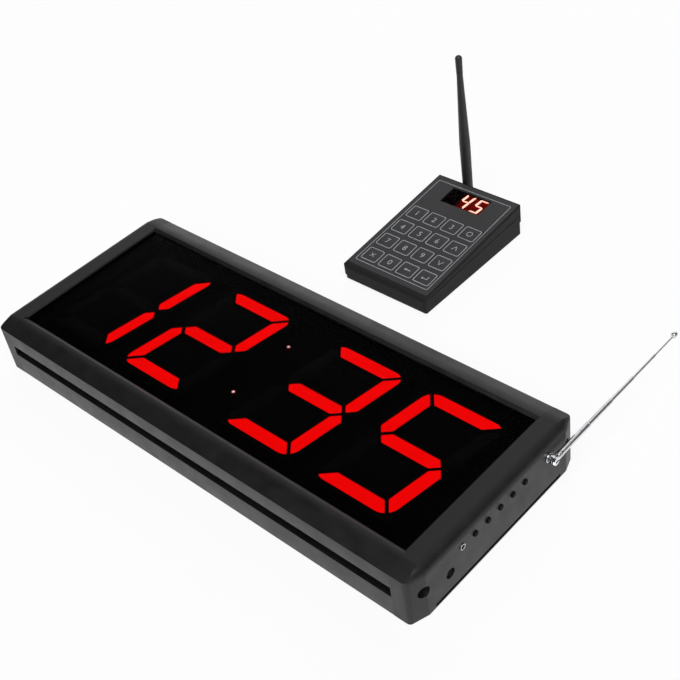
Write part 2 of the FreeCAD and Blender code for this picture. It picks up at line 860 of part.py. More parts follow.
def build_end_caps():
    part_feature("left_end_cap", mirrored(cap_shell(), X_WAY))
    cap = cap_shell()
    holes = []
    reach = D.cap_wall + 2 * D.overrun

    def hole(diameter, y, z):
        holes.append(rod(diameter, Vector(END_FACE_INSIDE - D.overrun / 2, y, z), X_WAY, reach))

    for step in BUTTON_STEPS:
        hole(D.button_hole, port_y(step), D.port_row_height)
    hole(D.audio_bush_hole, port_y(0), D.port_row_height)
    hole(D.bush_hole, AERIAL_Y, D.port_row_height)
    hole(D.power_hole, port_y(-1), D.power_socket_height)
    posts = []
    for step in POST_STEPS:
        foot = Vector(BOARD_FACE, port_y(step), D.board_post_height)
        posts.append(rod(D.board_post_diameter, foot, X_WAY, END_FACE_INSIDE - BOARD_FACE + D.lip_tip))
        pin = foot - X_WAY * D.board_pin_length
        posts.append(rod(D.board_pin_diameter, pin, X_WAY, D.board_pin_length + D.lip_tip))
    part_feature("right_end_cap", fused([cap.cut(holes)] + posts))


def cap_screw():
    """Round-headed screw along X, head outwards, with a straight drive slot."""
    shank = rod(D.screw_shank, Vector(-D.screw_length, 0, 0), X_WAY, D.screw_length + D.lip_tip)
    head = rod(D.screw_head, Vector(), X_WAY, D.screw_head_height)
    slot = block((D.screw_head_height - D.screw_drive_depth, -D.screw_head, -D.screw_drive_width / 2),
                 (D.screw_head_height + D.overrun, D.screw_head, D.screw_drive_width / 2))
    return fused([shank, head]).cut(slot)


def build_end_cap_screws():
    screws = []
    for side in (-1, 1):
        screw = cap_screw()
        screw.translate(Vector(HALF_LENGTH - D.recess_floor_depth, side * PORT_Y, D.screw_port_height))
        screws.append(screw)
        screws.append(mirrored(screw, X_WAY))
    part_feature("end_cap_screws", Part.makeCompound(screws))


# Seven-segment digits


CORNER_STEPS = 4


def corner_arc(a, b, radius, gap):
    """Round corner of a digit's outline, from its top edge to half a gap before the mitre."""
    sweep = math.pi / 4 - math.asin(gap / 2 / radius)
    arc = []
    for k in range(CORNER_STEPS + 1):
        angle = math.pi / 2 - sweep * k / CORNER_STEPS
        arc.append((a - radius + radius * math.cos(angle), b - radius + radius * math.sin(angle)))
    return arc


def segment_outlines(width, height, stroke, gap, radius):
    """Outlines of segments a to g about the digit's centre, upright, in (x, y)."""
    a = width / 2
    b = height / 2
    mitre = gap * math.sqrt(2) / 2
    half = stroke / 2
    arc = corner_arc(a, b, radius, gap)
    top = [(-x, y) for x, y in arc]
    top += [(-a + stroke + mitre, b - stroke), (a - stroke - mitre, b - stroke)] + arc[::-1]
    upper_right = [(a - b + y, b - a + x) for x, y in arc]
    upper_right += [(a - stroke, b - stroke - mitre), (a - stroke, half + mitre),
                    (a - half, mitre), (a, half + mitre)]
    middle = [(-a + half + mitre, 0), (-a + stroke + mitre, -half), (a - stroke - mitre, -half),
              (a - half - mitre, 0), (a - stroke - mitre, half), (-a + stroke + mitre, half)]
    return {
        "a": top,
        "b": upper_right,
        "c": [(x, -y) for x, y in reversed(upper_right)],
        "d": [(x, -y) for x, y in reversed(top)],
        "e": [(-x, -y) for x, y in upper_right],
        "f": [(-x, y) for x, y in reversed(upper_right)],
        "g": middle,
    }


LIT_SEGMENTS = {"1": "bc", "2": "abged", "3": "abgcd", "4": "fgbc", "5": "afgcd"}
DISPLAY_DIGITS = "1235"
READOUT_DIGITS = "45"


def digit_centres():
    """X of the four digits: two pairs about the colon."""
    length = 2 * HALF_RAIL
    inner = length * DIGIT_MIDDLE_SHARE / 2
    outer = inner + length * DIGIT_PAIR_SHARE
    return [length * DIGIT_SHIFT_SHARE + x for x in (-outer, -inner, inner, outer)]


def slanted(points, slant, centre):
    """Lean an outline to the right and move it to its place."""
    return [(centre[0] + x + slant * y, centre[1] + y) for x, y in points]


DIGIT_HEIGHT = 2 * WINDOW_EDGE * DIGIT_HEIGHT_SHARE
DIGIT_WIDTH = 2 * HALF_RAIL * DIGIT_WIDTH_SHARE


def large_segments():
    return segment_outlines(DIGIT_WIDTH, DIGIT_HEIGHT, D.segment_width, D.segment_gap,
                            D.digit_corner_radius)


def anticlockwise(points):
    """The same outline, turned so that it runs anticlockwise."""
    area = 0
    for k, (x, y) in enumerate(points):
        area += points[k - 1][0] * y - x * points[k - 1][1]
    return points if area > 0 else points[::-1]


def build_digits():
    """Reflector blocks with slanted openings, and the diffuser bars that fill them."""
    block_top = GLASS_BOTTOM - D.reflector_air
    bar_top = block_top - D.segment_sink
    reflectors = []
    lit = []
    unlit = []
    a = DIGIT_WIDTH / 2 + D.reflector_margin
    b = DIGIT_HEIGHT / 2 + D.reflector_margin
    for name, x in zip(DISPLAY_DIGITS, digit_centres()):
        centre = (x, 0)
        frame = slanted([(-a, -b), (a, -b), (a, b), (-a, b)], DIGIT_SLANT, centre)
        reflector = along_z(frame, DIGIT_BOARD_TOP, block_top)
        openings = []
        for letter, points in large_segments().items():
            outline = anticlockwise(slanted(points, DIGIT_SLANT, centre))
            openings.append(along_z(outline, DIGIT_BOARD_TOP - D.overrun, block_top + D.overrun))
            bar = along_z(inset(outline, D.segment_play), bar_top - D.segment_depth, bar_top)
            (lit if letter in LIT_SEGMENTS[name] else unlit).append(bar)
        reflectors.append(reflector.cut(openings))
    part_feature("digit_reflectors", Part.makeCompound(reflectors))
    part_feature("lit_segments", Part.makeCompound(lit))
    part_feature("unlit_segments", Part.makeCompound(unlit))


def build_colon():
    """Two round lamps with a collar at the foot and a domed end."""
    top = GLASS_BOTTOM - D.reflector_air
    radius = D.colon_lamp_diameter / 2
    x = 2 * HALF_RAIL * DIGIT_SHIFT_SHARE + D.colon_offset
    lamps = []
    for side in (-1, 1):
        foot = Vector(x, side * DIGIT_HEIGHT * COLON_SPACING_SHARE / 2, DIGIT_BOARD_TOP)
        straight = top - DIGIT_BOARD_TOP - radius
        dome = Part.makeSphere(radius, foot + Z_WAY * straight)
        body = rod(D.colon_lamp_diameter, foot, Z_WAY, straight)
        collar = rod(D.colon_collar_diameter, foot, Z_WAY, D.colon_collar_height)
        lamps.append(fused([body, collar, dome]))
    part_feature("colon_lights", Part.makeCompound(lamps))


# Ports in the right end face


def build_control_board():
    """Upright board on two posts of the cap, with a controller chip on its inner face."""
    left = port_y(POST_STEPS[0]) - D.control_board_margin / 2
    right = port_y(POST_STEPS[1]) + D.control_board_margin / 2
    middle = (D.control_board_bottom + D.control_board_top) / 2
    height = D.control_board_top - D.control_board_bottom
    outlines = [loop(rounded_box_outline(right - left, height, 0, ((left + right) / 2, middle)))]
    outlines += [circle(port_y(step), D.board_post_height, D.board_pin_hole) for step in POST_STEPS]
    body = new_body("control_board")
    back = "sizes.case_length / 2 - sizes.control_board_offset"
    layer_on(body, "control_board_pad", "YZ_Plane", outlines, back, "sizes.control_board_thickness")
    chip = rounded_box_outline(D.chip_width, D.chip_width, 0, (port_y(2) + D.chip_width / 2, middle))
    layer_on(body, "control_chip", "YZ_Plane", [loop(chip)], back + " - sizes.chip_height",
             "sizes.chip_height")


def build_tact_switches():
    """Five square switches on the board, each with its round plunger."""
    switches = []
    for step in BUTTON_STEPS:
        seat = Placement(Vector(BOARD_FACE, port_y(step), D.port_row_height), Rotation(Z_WAY, X_WAY))
        switches.append(push_switch("tact_switch_%d" % step, seat, D.tact_width / 2, TACT_SWITCH))
    grouped("tact_switches", switches)


def build_set_buttons():
    """Small push buttons: stem, flange behind the end face and a slightly domed cap."""
    plunger_end = BOARD_FACE + D.tact_height + D.tact_plunger_height
    stem_start = plunger_end + D.button_tact_gap + D.button_travel
    flange_end = END_FACE_INSIDE - D.button_rest_gap
    flange_start = flange_end - D.button_flange_thickness
    cap_end = HALF_LENGTH + D.button_stand
    radius = D.button_diameter / 2
    stem = D.button_stem_diameter / 2
    flange = D.button_flange_diameter / 2
    stations = [
        (stem_start, stem), (flange_start, stem), (flange_start, flange), (flange_end, flange),
        (flange_end, radius), (cap_end - D.button_dome, radius), (cap_end, radius - D.button_dome)]
    for step in BUTTON_STEPS:
        origin = Vector(0, port_y(step), D.port_row_height)
        turned_body("set_button_%d" % step, half_section(stations), origin, X_WAY)


SOCKET_LENGTH = "(sizes.control_board_offset - sizes.control_board_thickness - sizes.cap_wall)"


def build_sockets():
    """Round power socket behind its hole and a threaded audio socket through the face."""
    place = Vector(BOARD_FACE, port_y(-1), D.power_socket_height)
    socket_body("power_socket", D.power_body_width, SOCKET_LENGTH, "sizes.power_bore_depth", place, X_WAY)
    body = new_body("audio_socket")
    width = D.audio_body_width
    pad_on(body, "audio_socket_block", "XY_Plane", [loop(rounded_box_outline(width, width, 0))],
           SOCKET_LENGTH)
    layer_on(body, "audio_socket_bush", "XY_Plane", [circle(0, 0, D.audio_bush_diameter)],
             SOCKET_LENGTH, "sizes.cap_wall + sizes.audio_bush_stand")
    pocket_in(body, "audio_socket_bore", "XY_Plane", [circle(0, 0, D.audio_bore)],
              SOCKET_LENGTH + " + sizes.cap_wall + sizes.audio_bush_stand",
              SOCKET_LENGTH + " + sizes.audio_bush_stand")
    place = Vector(BOARD_FACE, port_y(0), D.port_row_height)
    body.Placement = Placement(place, Rotation(Z_WAY, X_WAY))


# The telescopic aerial: bush, swivel, folding elbow and nested tubes

PIVOT = Vector(HALF_LENGTH + D.bush_flange_thickness + D.pivot_stand, AERIAL_Y, D.port_row_height)
SWIVEL_START = HALF_LENGTH + D.bush_flange_thickness + D.post_end_play


def hexagon(across, start, way, height):
    """Hexagonal prism on a line."""
    corner = across / math.sqrt(3)
    points = [(corner * math.cos(math.pi * k / 3), corner * math.sin(math.pi * k / 3)) for k in range(6)]
    prism = along_z(points, 0, height)
    prism.Placement = Placement(start, Rotation(Z_WAY, way))
    return prism


def build_aerial_bush():
    """Flanged bush through the end face, and the nut that holds it from inside."""
    start = Vector(END_FACE_INSIDE - D.bush_inner_reach, AERIAL_Y, D.port_row_height)
    barrel = rod(D.bush_barrel_diameter, start, X_WAY, D.bush_inner_reach + D.cap_wall)
    flange = rod(D.bush_flange_diameter, Vector(HALF_LENGTH, AERIAL_Y, D.port_row_height), X_WAY,
                 D.bush_flange_thickness)
    bore = rod(D.post_bore, start - X_WAY * D.overrun, X_WAY, D.case_length)
    nut_start = Vector(END_FACE_INSIDE - D.bush_nut_height, AERIAL_Y, D.port_row_height)
    nut = hexagon(D.bush_nut_across, nut_start, X_WAY, D.bush_nut_height)
    nut = nut.cut(rod(D.bush_barrel_diameter, nut_start - X_WAY, X_WAY, D.case_length))
    part_feature("antenna_bush", Part.makeCompound([fused([barrel, flange]).cut(bore), nut]))


def build_aerial_swivel():
    """Post with a retaining collar inside and a two-eared fork outside."""
    post_start = END_FACE_INSIDE - D.bush_inner_reach - D.post_end_play - D.post_collar_height
    post = D.post_diameter / 2
    collar = D.post_collar_diameter / 2
    head = D.fork_diameter / 2
    fork_end = PIVOT.x + D.fork_reach
    section = [(post_start, 0), (post_start, collar), (post_start + D.post_collar_height, collar),
               (post_start + D.post_collar_height, post), (SWIVEL_START, post), (SWIVEL_START, head),
               (fork_end, head), (fork_end, 0)]
    body = new_body("antenna_swivel")
    turning_in(body, "Revolution", "swivel_turning", "XY_Plane", section, "H_Axis")
    length = D.fork_reach + D.pivot_stand
    slot = rounded_box_outline(length, D.tongue_thickness + 2 * D.tongue_play, 0,
                               (SWIVEL_START + D.fork_base + length / 2, 0))
    through_cut(body, "swivel_slot", "XZ_Plane", [loop(slot)])
    through_cut(body, "swivel_pin_bore", "XY_Plane", [circle(PIVOT.x, 0, D.pivot_pin_diameter)])
    body.Placement = Placement(Vector(0, AERIAL_Y, D.port_row_height), Rotation())


def build_pivot_pin():
    """Rivet across the fork with a low head at each end."""
    fork = D.fork_diameter / 2
    end = fork + D.pivot_head_height
    pin = D.pivot_pin_diameter / 2
    head = D.pivot_head_diameter / 2
    stations = [(-end, head), (-fork, head), (-fork, pin), (fork, pin), (fork, head), (end, head)]
    turned_body("antenna_pivot_pin", half_section(stations), PIVOT, Z_WAY)


FERRULE_STEPS = 5
FERRULE_GROOVES = (1, 3)


def build_elbow():
    """Tongue in the fork, widening to a ringed ferrule that holds the base tube."""
    half = D.tongue_width / 2
    root = D.ferrule_start + D.lip_tip
    radius = D.ferrule_diameter / 2
    groove = radius - D.ferrule_ring
    start = D.ferrule_start
    step = D.ferrule_length / FERRULE_STEPS
    stations = [(start, groove), (start + D.ferrule_ring, radius)]
    for k in FERRULE_GROOVES:
        low = start + k * step
        high = low + step / 2
        stations += [(low, radius), (low, groove), (high, groove), (high, radius)]
    stations.append((start + D.ferrule_length, radius))
    body = new_body("antenna_elbow")
    outline = loop([(-half, -half, half), (half, -half, half), (half, root), (-half, root)])
    tongue = pad_on(body, "elbow_tongue", "XY_Plane", [outline], "sizes.tongue_thickness")
    tongue.Midplane = True
    turning_in(body, "Revolution", "elbow_ferrule", "XY_Plane", half_section(stations), "V_Axis")
    through_cut(body, "elbow_eye", "XY_Plane", [circle(0, 0, D.pivot_bore)])
    body.Placement = Placement(PIVOT, Rotation())


def tube_diameter(k):
    return D.tube_diameter - k * D.tube_step


def tube_body(label, k, bottom, length):
    """Nested tube k: closed foot with a collar, thin wall and a mouth rolled in on the next tube."""
    outer = tube_diameter(k) / 2
    bore = outer - D.tube_wall
    mouth = tube_diameter(k + 1) / 2 + D.slide_clearance
    floor = bottom + D.tube_collar_length / 2
    rim = bottom + length
    section = [(0, bottom)]
    if k:
        collar = tube_diameter(k - 1) / 2 - D.tube_wall - D.slide_clearance
        shoulder = bottom + D.tube_collar_length
        section += [(collar, bottom), (collar, shoulder), (outer, shoulder)]
    else:
        section.append((outer, bottom))
    section += [(outer, rim), (mouth, rim), (mouth, rim - D.tube_mouth_length),
                (bore, rim - D.tube_mouth_length), (bore, floor), (0, floor)]
    turned_body(label, section, PIVOT, Y_WAY)


TUBE_COUNT = 4


def build_tubes():
    """Base tube, three sliding tubes and the tip rod with its button end."""
    ferrule_end = D.ferrule_start + D.ferrule_length
    tube_body("antenna_base_tube", 0, ferrule_end, D.base_tube_length)
    mouth = ferrule_end + D.base_tube_length
    for k in range(1, TUBE_COUNT):
        bottom = mouth - D.tube_overlap
        tube_body("antenna_tube_%d" % (k + 1), k, bottom, D.tube_visible + D.tube_overlap)
        mouth += D.tube_visible
    radius = tube_diameter(TUBE_COUNT) / 2
    collar = tube_diameter(TUBE_COUNT - 1) / 2 - D.tube_wall - D.slide_clearance
    bottom = mouth - D.tube_overlap
    ball_start = mouth + D.tube_visible - D.tip_ball_length
    ball = D.tip_ball / 2
    edge = ball / 4
    stations = [
        (bottom, collar), (bottom + D.tube_collar_length, collar), (bottom + D.tube_collar_length, radius),
        (ball_start, radius), (ball_start, ball - edge), (ball_start + edge, ball),
        (ball_start + D.tip_ball_length - edge, ball), (ball_start + D.tip_ball_length, ball - edge)]
    turned_body("antenna_tip", half_section(stations), PIVOT, Y_WAY)


# The keypad transmitter

KEYPAD_BACK = D.keypad_front + D.keypad_depth
TOP_FALL = (D.keypad_back_height - D.keypad_front_height) / D.keypad_depth
TOP_ANGLE = math.degrees(math.atan(TOP_FALL))
PANEL_LENGTH = D.keypad_depth / math.cos(math.radians(TOP_ANGLE))
PANEL_CORNER = Vector(D.keypad_centre, D.keypad_front, D.keypad_front_height)
PANEL = Placement(PANEL_CORNER, Rotation(X_WAY, TOP_ANGLE))
KEY_PITCH_ACROSS = D.keypad_width * KEY_PITCH_ACROSS_SHARE
KEY_PITCH_ALONG = PANEL_LENGTH * KEY_PITCH_ALONG_SHARE
KEY_WIDTH = KEY_PITCH_ACROSS - D.key_gap_across
KEY_LENGTH = KEY_PITCH_ALONG - D.key_gap_along
READOUT_WIDTH = D.keypad_width * READOUT_WIDTH_SHARE
READOUT_LENGTH = PANEL_LENGTH * READOUT_LENGTH_SHARE
WHIP_X = D.keypad_centre + D.keypad_width * WHIP_OFFSET_SHARE
KEYPAD_POWER_X = D.keypad_centre + D.keypad_width * KEYPAD_POWER_SHARE
LEFT = D.keypad_centre - D.keypad_width / 2
RIGHT = D.keypad_centre + D.keypad_width / 2


def on_panel(shape):
    """Move a shape from panel coordinates (across, up the slope, out of it) to its place."""
    moved = shape.copy()
    moved.Placement = PANEL.multiply(moved.Placement)
    return moved


def parting_height(y):
    share = (y - D.keypad_front) / D.keypad_depth
    return D.parting_front_height + share * (D.parting_back_height - D.parting_front_height)


def keypad_profile(inset_by=0):
    """Side view of the whole keypad in (y, z), above the feet."""
    front = D.keypad_front + inset_by
    back = KEYPAD_BACK - inset_by
    bottom = D.foot_height + inset_by
    rise = inset_by / math.cos(math.radians(TOP_ANGLE))
    front_top = D.keypad_front_height + inset_by * TOP_FALL - rise
    back_top = D.keypad_back_height - inset_by * TOP_FALL - rise
    return [(front, bottom), (back, bottom), (back, back_top), (front, front_top)]


def rolled(points):
    """Give the side view its rolled front edge and heel."""
    radii = (D.lower_heel, D.lip_tip, D.shell_back_roll, D.shell_front_roll)
    return [(p[0], p[1], radius) for p, radius in zip(points, radii)]


def above_parting():
    """Everything above the line where the two shells meet."""
    low = D.keypad_front - D.overrun
    high = KEYPAD_BACK + D.overrun
    roof = D.keypad_back_height + D.overrun
    return along_x([(low, parting_height(low)), (high, parting_height(high)), (high, roof), (low, roof)],
                   LEFT - D.overrun, RIGHT + D.overrun)


def keypad_plan(inset_by, radius):
    width = D.keypad_width - 2 * inset_by
    length = D.keypad_depth - 2 * inset_by
    centre = (D.keypad_centre, D.keypad_front + D.keypad_depth / 2)
    return along_z(rounded_box_outline(width, length, radius, centre), 0, D.keypad_back_height)


def bevelled_rim():
    """Panel-side envelope: the top edge is bevelled all round except at the rolled front."""
    half = D.keypad_width / 2
    bevel = D.shell_rim_bevel
    depth = D.keypad_back_height + D.overrun
    section = [(-half, -depth), (half, -depth), (half, -bevel), (half - bevel, 0), (-half + bevel, 0),
               (-half, -bevel)]
    return on_panel(along_y(section, -2 * D.overrun, PANEL_LENGTH + 2 * D.overrun))


def side_grooves():
    """Shallow line in each long wall, between the rolled front edge and the back."""
    half = D.side_groove_width / 2
    front = D.keypad_front - D.overrun
    back = KEYPAD_BACK + D.overrun
    fall = (D.side_groove_back - D.side_groove_front) / D.keypad_depth
    low = D.side_groove_front - fall * D.overrun
    high = D.side_groove_back + fall * D.overrun
    section = [(front, low - half), (back, high - half), (back, high + half), (front, low + half)]
    return [along_x(section, LEFT - D.overrun, LEFT + D.side_groove_depth),
            along_x(section, RIGHT - D.side_groove_depth, RIGHT + D.overrun)]


def key_places():
    """Centres of the sixteen keys in panel coordinates, by name, from the top row down."""
    names = (("1", "2", "3", "set"), ("4", "5", "6", "up"), ("7", "8", "9", "down"),
             ("cancel", "0", "back", "enter"))
    rows = len(names)
    places = {}
    for row, row_names in enumerate(names):
        for column, name in enumerate(row_names):
            across = (column - (len(row_names) - 1) / 2) * KEY_PITCH_ACROSS
            along = PANEL_LENGTH * KEY_FIRST_ROW_SHARE + (rows - 1 - row) * KEY_PITCH_ALONG
            places["key_" + name] = (across, along)
    return places


def key_outline(place, growth):
    width = KEY_WIDTH + 2 * growth
    length = KEY_LENGTH + 2 * growth
    return rounded_box_outline(width, length, D.key_radius + growth, place)


READOUT_PLACE = (D.readout_offset, PANEL_LENGTH * READOUT_CENTRE_SHARE)


def readout_outline(growth):
    return rounded_box_outline(READOUT_WIDTH + 2 * growth, READOUT_LENGTH + 2 * growth, 0, READOUT_PLACE)


def ledge_outline(play):
    """Opening between the two ledges that carry the readout's window, less a play all round."""
    return rounded_box_outline(READOUT_WIDTH - 2 * play, READOUT_LENGTH - 2 * (D.readout_ledge + play), 0,
                               READOUT_PLACE)


def faceplate_outline(growth):
    width = D.keypad_width - 2 * D.faceplate_rim + 2 * growth
    low = D.shell_front_roll + D.faceplate_rim / 2
    high = PANEL_LENGTH - D.faceplate_rim
    return rounded_box_outline(width, high - low + 2 * growth, D.faceplate_radius, (0, (low + high) / 2))


def panel_openings():
    """Openings for the keys and the readout, cut square to the panel."""
    low = -PLATE_DEPTH - D.overrun
    cuts = [along_z(key_outline(place, D.key_play), low, D.overrun) for place in key_places().values()]
    cuts.append(along_z(ledge_outline(0), low, D.overrun))
    return cuts


def screw_places():
    """Panel coordinates of the four bosses that carry the board."""
    half = D.keypad_width / 2 - D.board_screw_inset
    low = D.board_screw_inset + D.shell_front_roll
    high = BOARD_END - D.board_screw_inset
    return [(x, y) for x in (-half, half) for y in (low, high)]


BOARD_TOP_DEPTH = D.keypad_board_depth
PLATE_DEPTH = D.faceplate_thickness + D.top_plate_thickness
BOARD_END = PANEL_LENGTH - D.shell_wall - D.socket_room


def case_screw_places():
    """Plan places of the four screws that hold the shells together."""
    half = D.keypad_width / 2 - D.foot_inset / 2
    middle = D.keypad_front + D.keypad_depth / 2
    reach = D.keypad_depth / 2 - D.foot_inset * 2
    return [(D.keypad_centre + x, middle + y) for x in (-half, half) for y in (-reach, reach)]


def build_top_shell():
    """Upper shell: rolled front, bevelled rim, recess for the faceplate, bosses for the board."""
    outside = along_x(rolled(keypad_profile()), LEFT, RIGHT)
    outside = outside.common(keypad_plan(0, D.shell_corner_radius)).common(bevelled_rim())
    inner_points = keypad_profile(D.shell_wall)
    rise = (PLATE_DEPTH - D.shell_wall) / math.cos(math.radians(TOP_ANGLE))
    inner_points[2] = (inner_points[2][0], inner_points[2][1] - rise)
    inner_points[3] = (inner_points[3][0], inner_points[3][1] - rise)
    inside = along_x(inner_points, LEFT + D.shell_wall, RIGHT - D.shell_wall)
    inside = inside.common(keypad_plan(D.shell_wall, D.shell_corner_radius - D.shell_wall / 2))
    shell = outside.cut(inside).common(above_parting())
    recess = on_panel(along_z(faceplate_outline(D.faceplate_play), -D.faceplate_thickness, D.overrun))
    openings = [on_panel(cut) for cut in panel_openings()]
    bosses = []
    boss_holes = []
    boss_height = BOARD_TOP_DEPTH - PLATE_DEPTH
    for x, y in screw_places():
        foot = Vector(x, y, -BOARD_TOP_DEPTH)
        bosses.append(on_panel(rod(D.shell_boss_diameter, foot, Z_WAY, boss_height + D.lip_tip)))
        hole_start = foot - Z_WAY * D.overrun
        boss_holes.append(on_panel(rod(D.shell_screw_hole, hole_start, Z_WAY, boss_height + D.overrun)))
    hole_y = KEYPAD_BACK - D.shell_wall - D.overrun / 2
    whip_hole = Vector(WHIP_X, hole_y, D.whip_socket_height)
    power_hole = Vector(KEYPAD_POWER_X, hole_y, D.keypad_power_height)
    back_holes = [rod(D.connector_hole, whip_hole, Y_WAY, D.overrun * 2),
                  rod(D.keypad_power_hole, power_hole, Y_WAY, D.overrun * 2)]
    shell = shell.cut([recess] + openings + side_grooves() + back_holes)
    shell = fused([shell] + bosses).cut(boss_holes)
    part_feature("keypad_top_shell", shell)


def build_bottom_shell():
    """Lower shell: a shallow wedge-shaped tray, set in a little, with a rounded front heel."""
    outside = along_x(rolled(keypad_profile()), LEFT + D.lower_inset, RIGHT - D.lower_inset)
    outside = outside.common(keypad_plan(D.lower_inset, D.shell_corner_radius))
    outside = outside.cut(above_parting())
    wall = D.shell_wall + D.lower_inset
    points = keypad_profile(D.shell_wall)
    inside = along_x(points, LEFT + wall, RIGHT - wall).common(keypad_plan(wall, D.lip_tip))
    tray = outside.cut(inside)
    cuts = []
    bosses = []
    for x, y in case_screw_places():
        top = parting_height(y) - D.keypad_board_play
        bosses.append(rod(D.shell_boss_diameter + D.shell_wall, Vector(x, y, D.foot_height), Z_WAY,
                          top - D.foot_height))
        cuts.append(rod(D.shell_screw_hole + D.groove_play, Vector(x, y, 0), Z_WAY, D.keypad_back_height))
        cuts.append(rod(D.shell_boss_diameter, Vector(x, y, 0), Z_WAY, D.foot_height + D.shell_wall))
    for x, y in foot_places():
        cuts.append(rod(D.foot_diameter, Vector(x, y, 0), Z_WAY, D.foot_height + D.foot_seat_depth))
    part_feature("keypad_bottom_shell", fused([tray] + bosses).cut(cuts))


def foot_places():
    half = D.keypad_width / 2 - D.foot_inset
    middle = D.keypad_front + D.keypad_depth / 2
    reach = D.keypad_depth / 2 - D.foot_inset
    return [(D.keypad_centre + x, middle + y) for x in (-half, half) for y in (-reach, reach)]


def build_feet():
    """Four round pads in shallow seats under the lower shell."""
    feet = []
    for k, (x, y) in enumerate(foot_places()):
        place = Placement(Vector(x, y, 0), Rotation())
        feet.append(primitive("Part::Cylinder", "keypad_foot_%d" % (k + 1), place,
                              Radius="sizes.foot_diameter / 2",
                              Height="sizes.foot_height + sizes.foot_seat_depth"))
    grouped("keypad_feet", feet)


def build_faceplate():
    """Thin printed plate in the shell's recess, with an opening for each key and the readout."""
    body = new_body("keypad_faceplate")
    outlines = [loop(faceplate_outline(0))]
    outlines += [loop(key_outline(place, D.key_play)) for place in key_places().values()]
    outlines.append(loop(readout_outline(D.readout_play)))
    sketch = sketch_on(body, "faceplate_outline", "XY_Plane", outlines)
    pad = body.newObject("PartDesign::Pad", "faceplate_pad")
    pad.Profile = sketch
    pad.Reversed = True
    bind(pad, Length="sizes.faceplate_thickness")
    body.Placement = PANEL


KEY_ROOT = "(sizes.faceplate_thickness + sizes.top_plate_thickness + sizes.key_seat_gap)"
KEY_STEM_END = ("(sizes.keypad_board_depth - sizes.switch_height - sizes.switch_plunger_height"
                " - sizes.switch_gap - sizes.key_travel)")


def build_keys():
    """Sixteen keys: flat cap in the opening, flange under the plate, round stem to the switch."""
    for name, place in key_places().items():
        body = new_body(name)
        layers = (
            ("cap", loop(key_outline(place, 0)), "-" + KEY_ROOT, KEY_ROOT),
            ("flange", loop(key_outline(place, D.key_flange)),
             "-" + KEY_ROOT + " - sizes.key_flange_thickness", "sizes.key_flange_thickness"),
            ("stem", circle(*place, D.key_stem_diameter), "-" + KEY_STEM_END,
             KEY_STEM_END + " - " + KEY_ROOT),
        )
        for layer, outline, start, length in layers:
            layer_on(body, name + "_" + layer, "XY_Plane", [outline], start, length)
        body.Placement = PANEL


def build_keypad_board():
    """Board under the keys, parallel to the panel, with holes for its four screws."""
    width = D.keypad_width - 2 * D.shell_wall - 2 * D.keypad_board_play
    low = D.shell_front_roll + D.keypad_board_play
    outlines = [loop(rounded_box_outline(width, BOARD_END - low, 0, (0, (low + BOARD_END) / 2)))]
    outlines += [circle(x, y, D.shell_screw_hole + D.groove_play) for x, y in screw_places()]
    body = new_body("keypad_board")
    layer_on(body, "keypad_board_pad", "XY_Plane", outlines,
             "-(sizes.keypad_board_depth + sizes.keypad_board_thickness)", "sizes.keypad_board_thickness")
    body.Placement = PANEL


def build_key_switches():
    """Sixteen square switches on the board."""
    switches = []
    for name, (x, y) in key_places().items():
        seat = Placement(Vector(x, y, -BOARD_TOP_DEPTH), Rotation())
        switches.append(push_switch(name + "_switch", seat, D.switch_width / 2, KEY_SWITCH))
    grouped("key_switches", switches, PANEL)


def build_readout():
    """Three-digit module on the board, its lit bars, and the filter window above it."""
    window = new_body("led_window")
    layer_on(window, "led_window_pad", "XY_Plane", [loop(readout_outline(0))],
             "-sizes.faceplate_thickness", "sizes.faceplate_thickness")
    window.Placement = PANEL
    top = -D.faceplate_thickness - D.module_air
    face = top - D.small_segment_depth
    module = new_body("led_module")
    height = ("sizes.keypad_board_depth - sizes.faceplate_thickness - sizes.module_air"
              " - sizes.small_segment_depth")
    layer_on(module, "led_module_pad", "XY_Plane", [loop(ledge_outline(D.module_play))],
             "-sizes.keypad_board_depth", height)
    module.Placement = PANEL
    shapes = segment_outlines(READOUT_WIDTH * SMALL_DIGIT_WIDTH_SHARE,
                              READOUT_LENGTH * SMALL_DIGIT_HEIGHT_SHARE,
                              D.small_segment_width, D.small_segment_gap, D.small_corner_radius)
    across, along = READOUT_PLACE
    bars = []
    for k, name in enumerate(READOUT_DIGITS):
        shift = D.small_digit_offset + k * READOUT_WIDTH * SMALL_DIGIT_PITCH_SHARE
        middle = (across + shift, along + D.small_digit_rise)
        for letter in LIT_SEGMENTS[name]:
            bars.append(along_z(slanted(shapes[letter], SMALL_DIGIT_SLANT, middle), face, top))
    part_feature("led_segments", on_panel(Part.makeCompound(bars)))


def build_keypad_screws():
    """Eight screws: four into the board's bosses and four through the lower shell."""
    shank = D.shell_screw_hole - D.groove_play
    head = D.shell_boss_diameter - D.groove_play * 2
    screws = []
    for x, y in screw_places():
        seat = -BOARD_TOP_DEPTH - D.keypad_board_thickness
        low = Vector(x, y, seat - D.screw_head_height)
        body = rod(shank, low, Z_WAY, D.screw_head_height + D.keypad_board_thickness + D.shell_wall * 2)
        screws.append(on_panel(fused([body, rod(head, low, Z_WAY, D.screw_head_height)])))
    for x, y in case_screw_places():
        seat = D.foot_height + D.shell_wall
        low = Vector(x, y, seat - D.screw_head_height)
        length = parting_height(y) - D.keypad_board_play - low.z
        screws.append(fused([rod(shank, low, Z_WAY, length), rod(head, low, Z_WAY, D.screw_head_height)]))
    part_feature("keypad_screws", Part.makeCompound(screws))


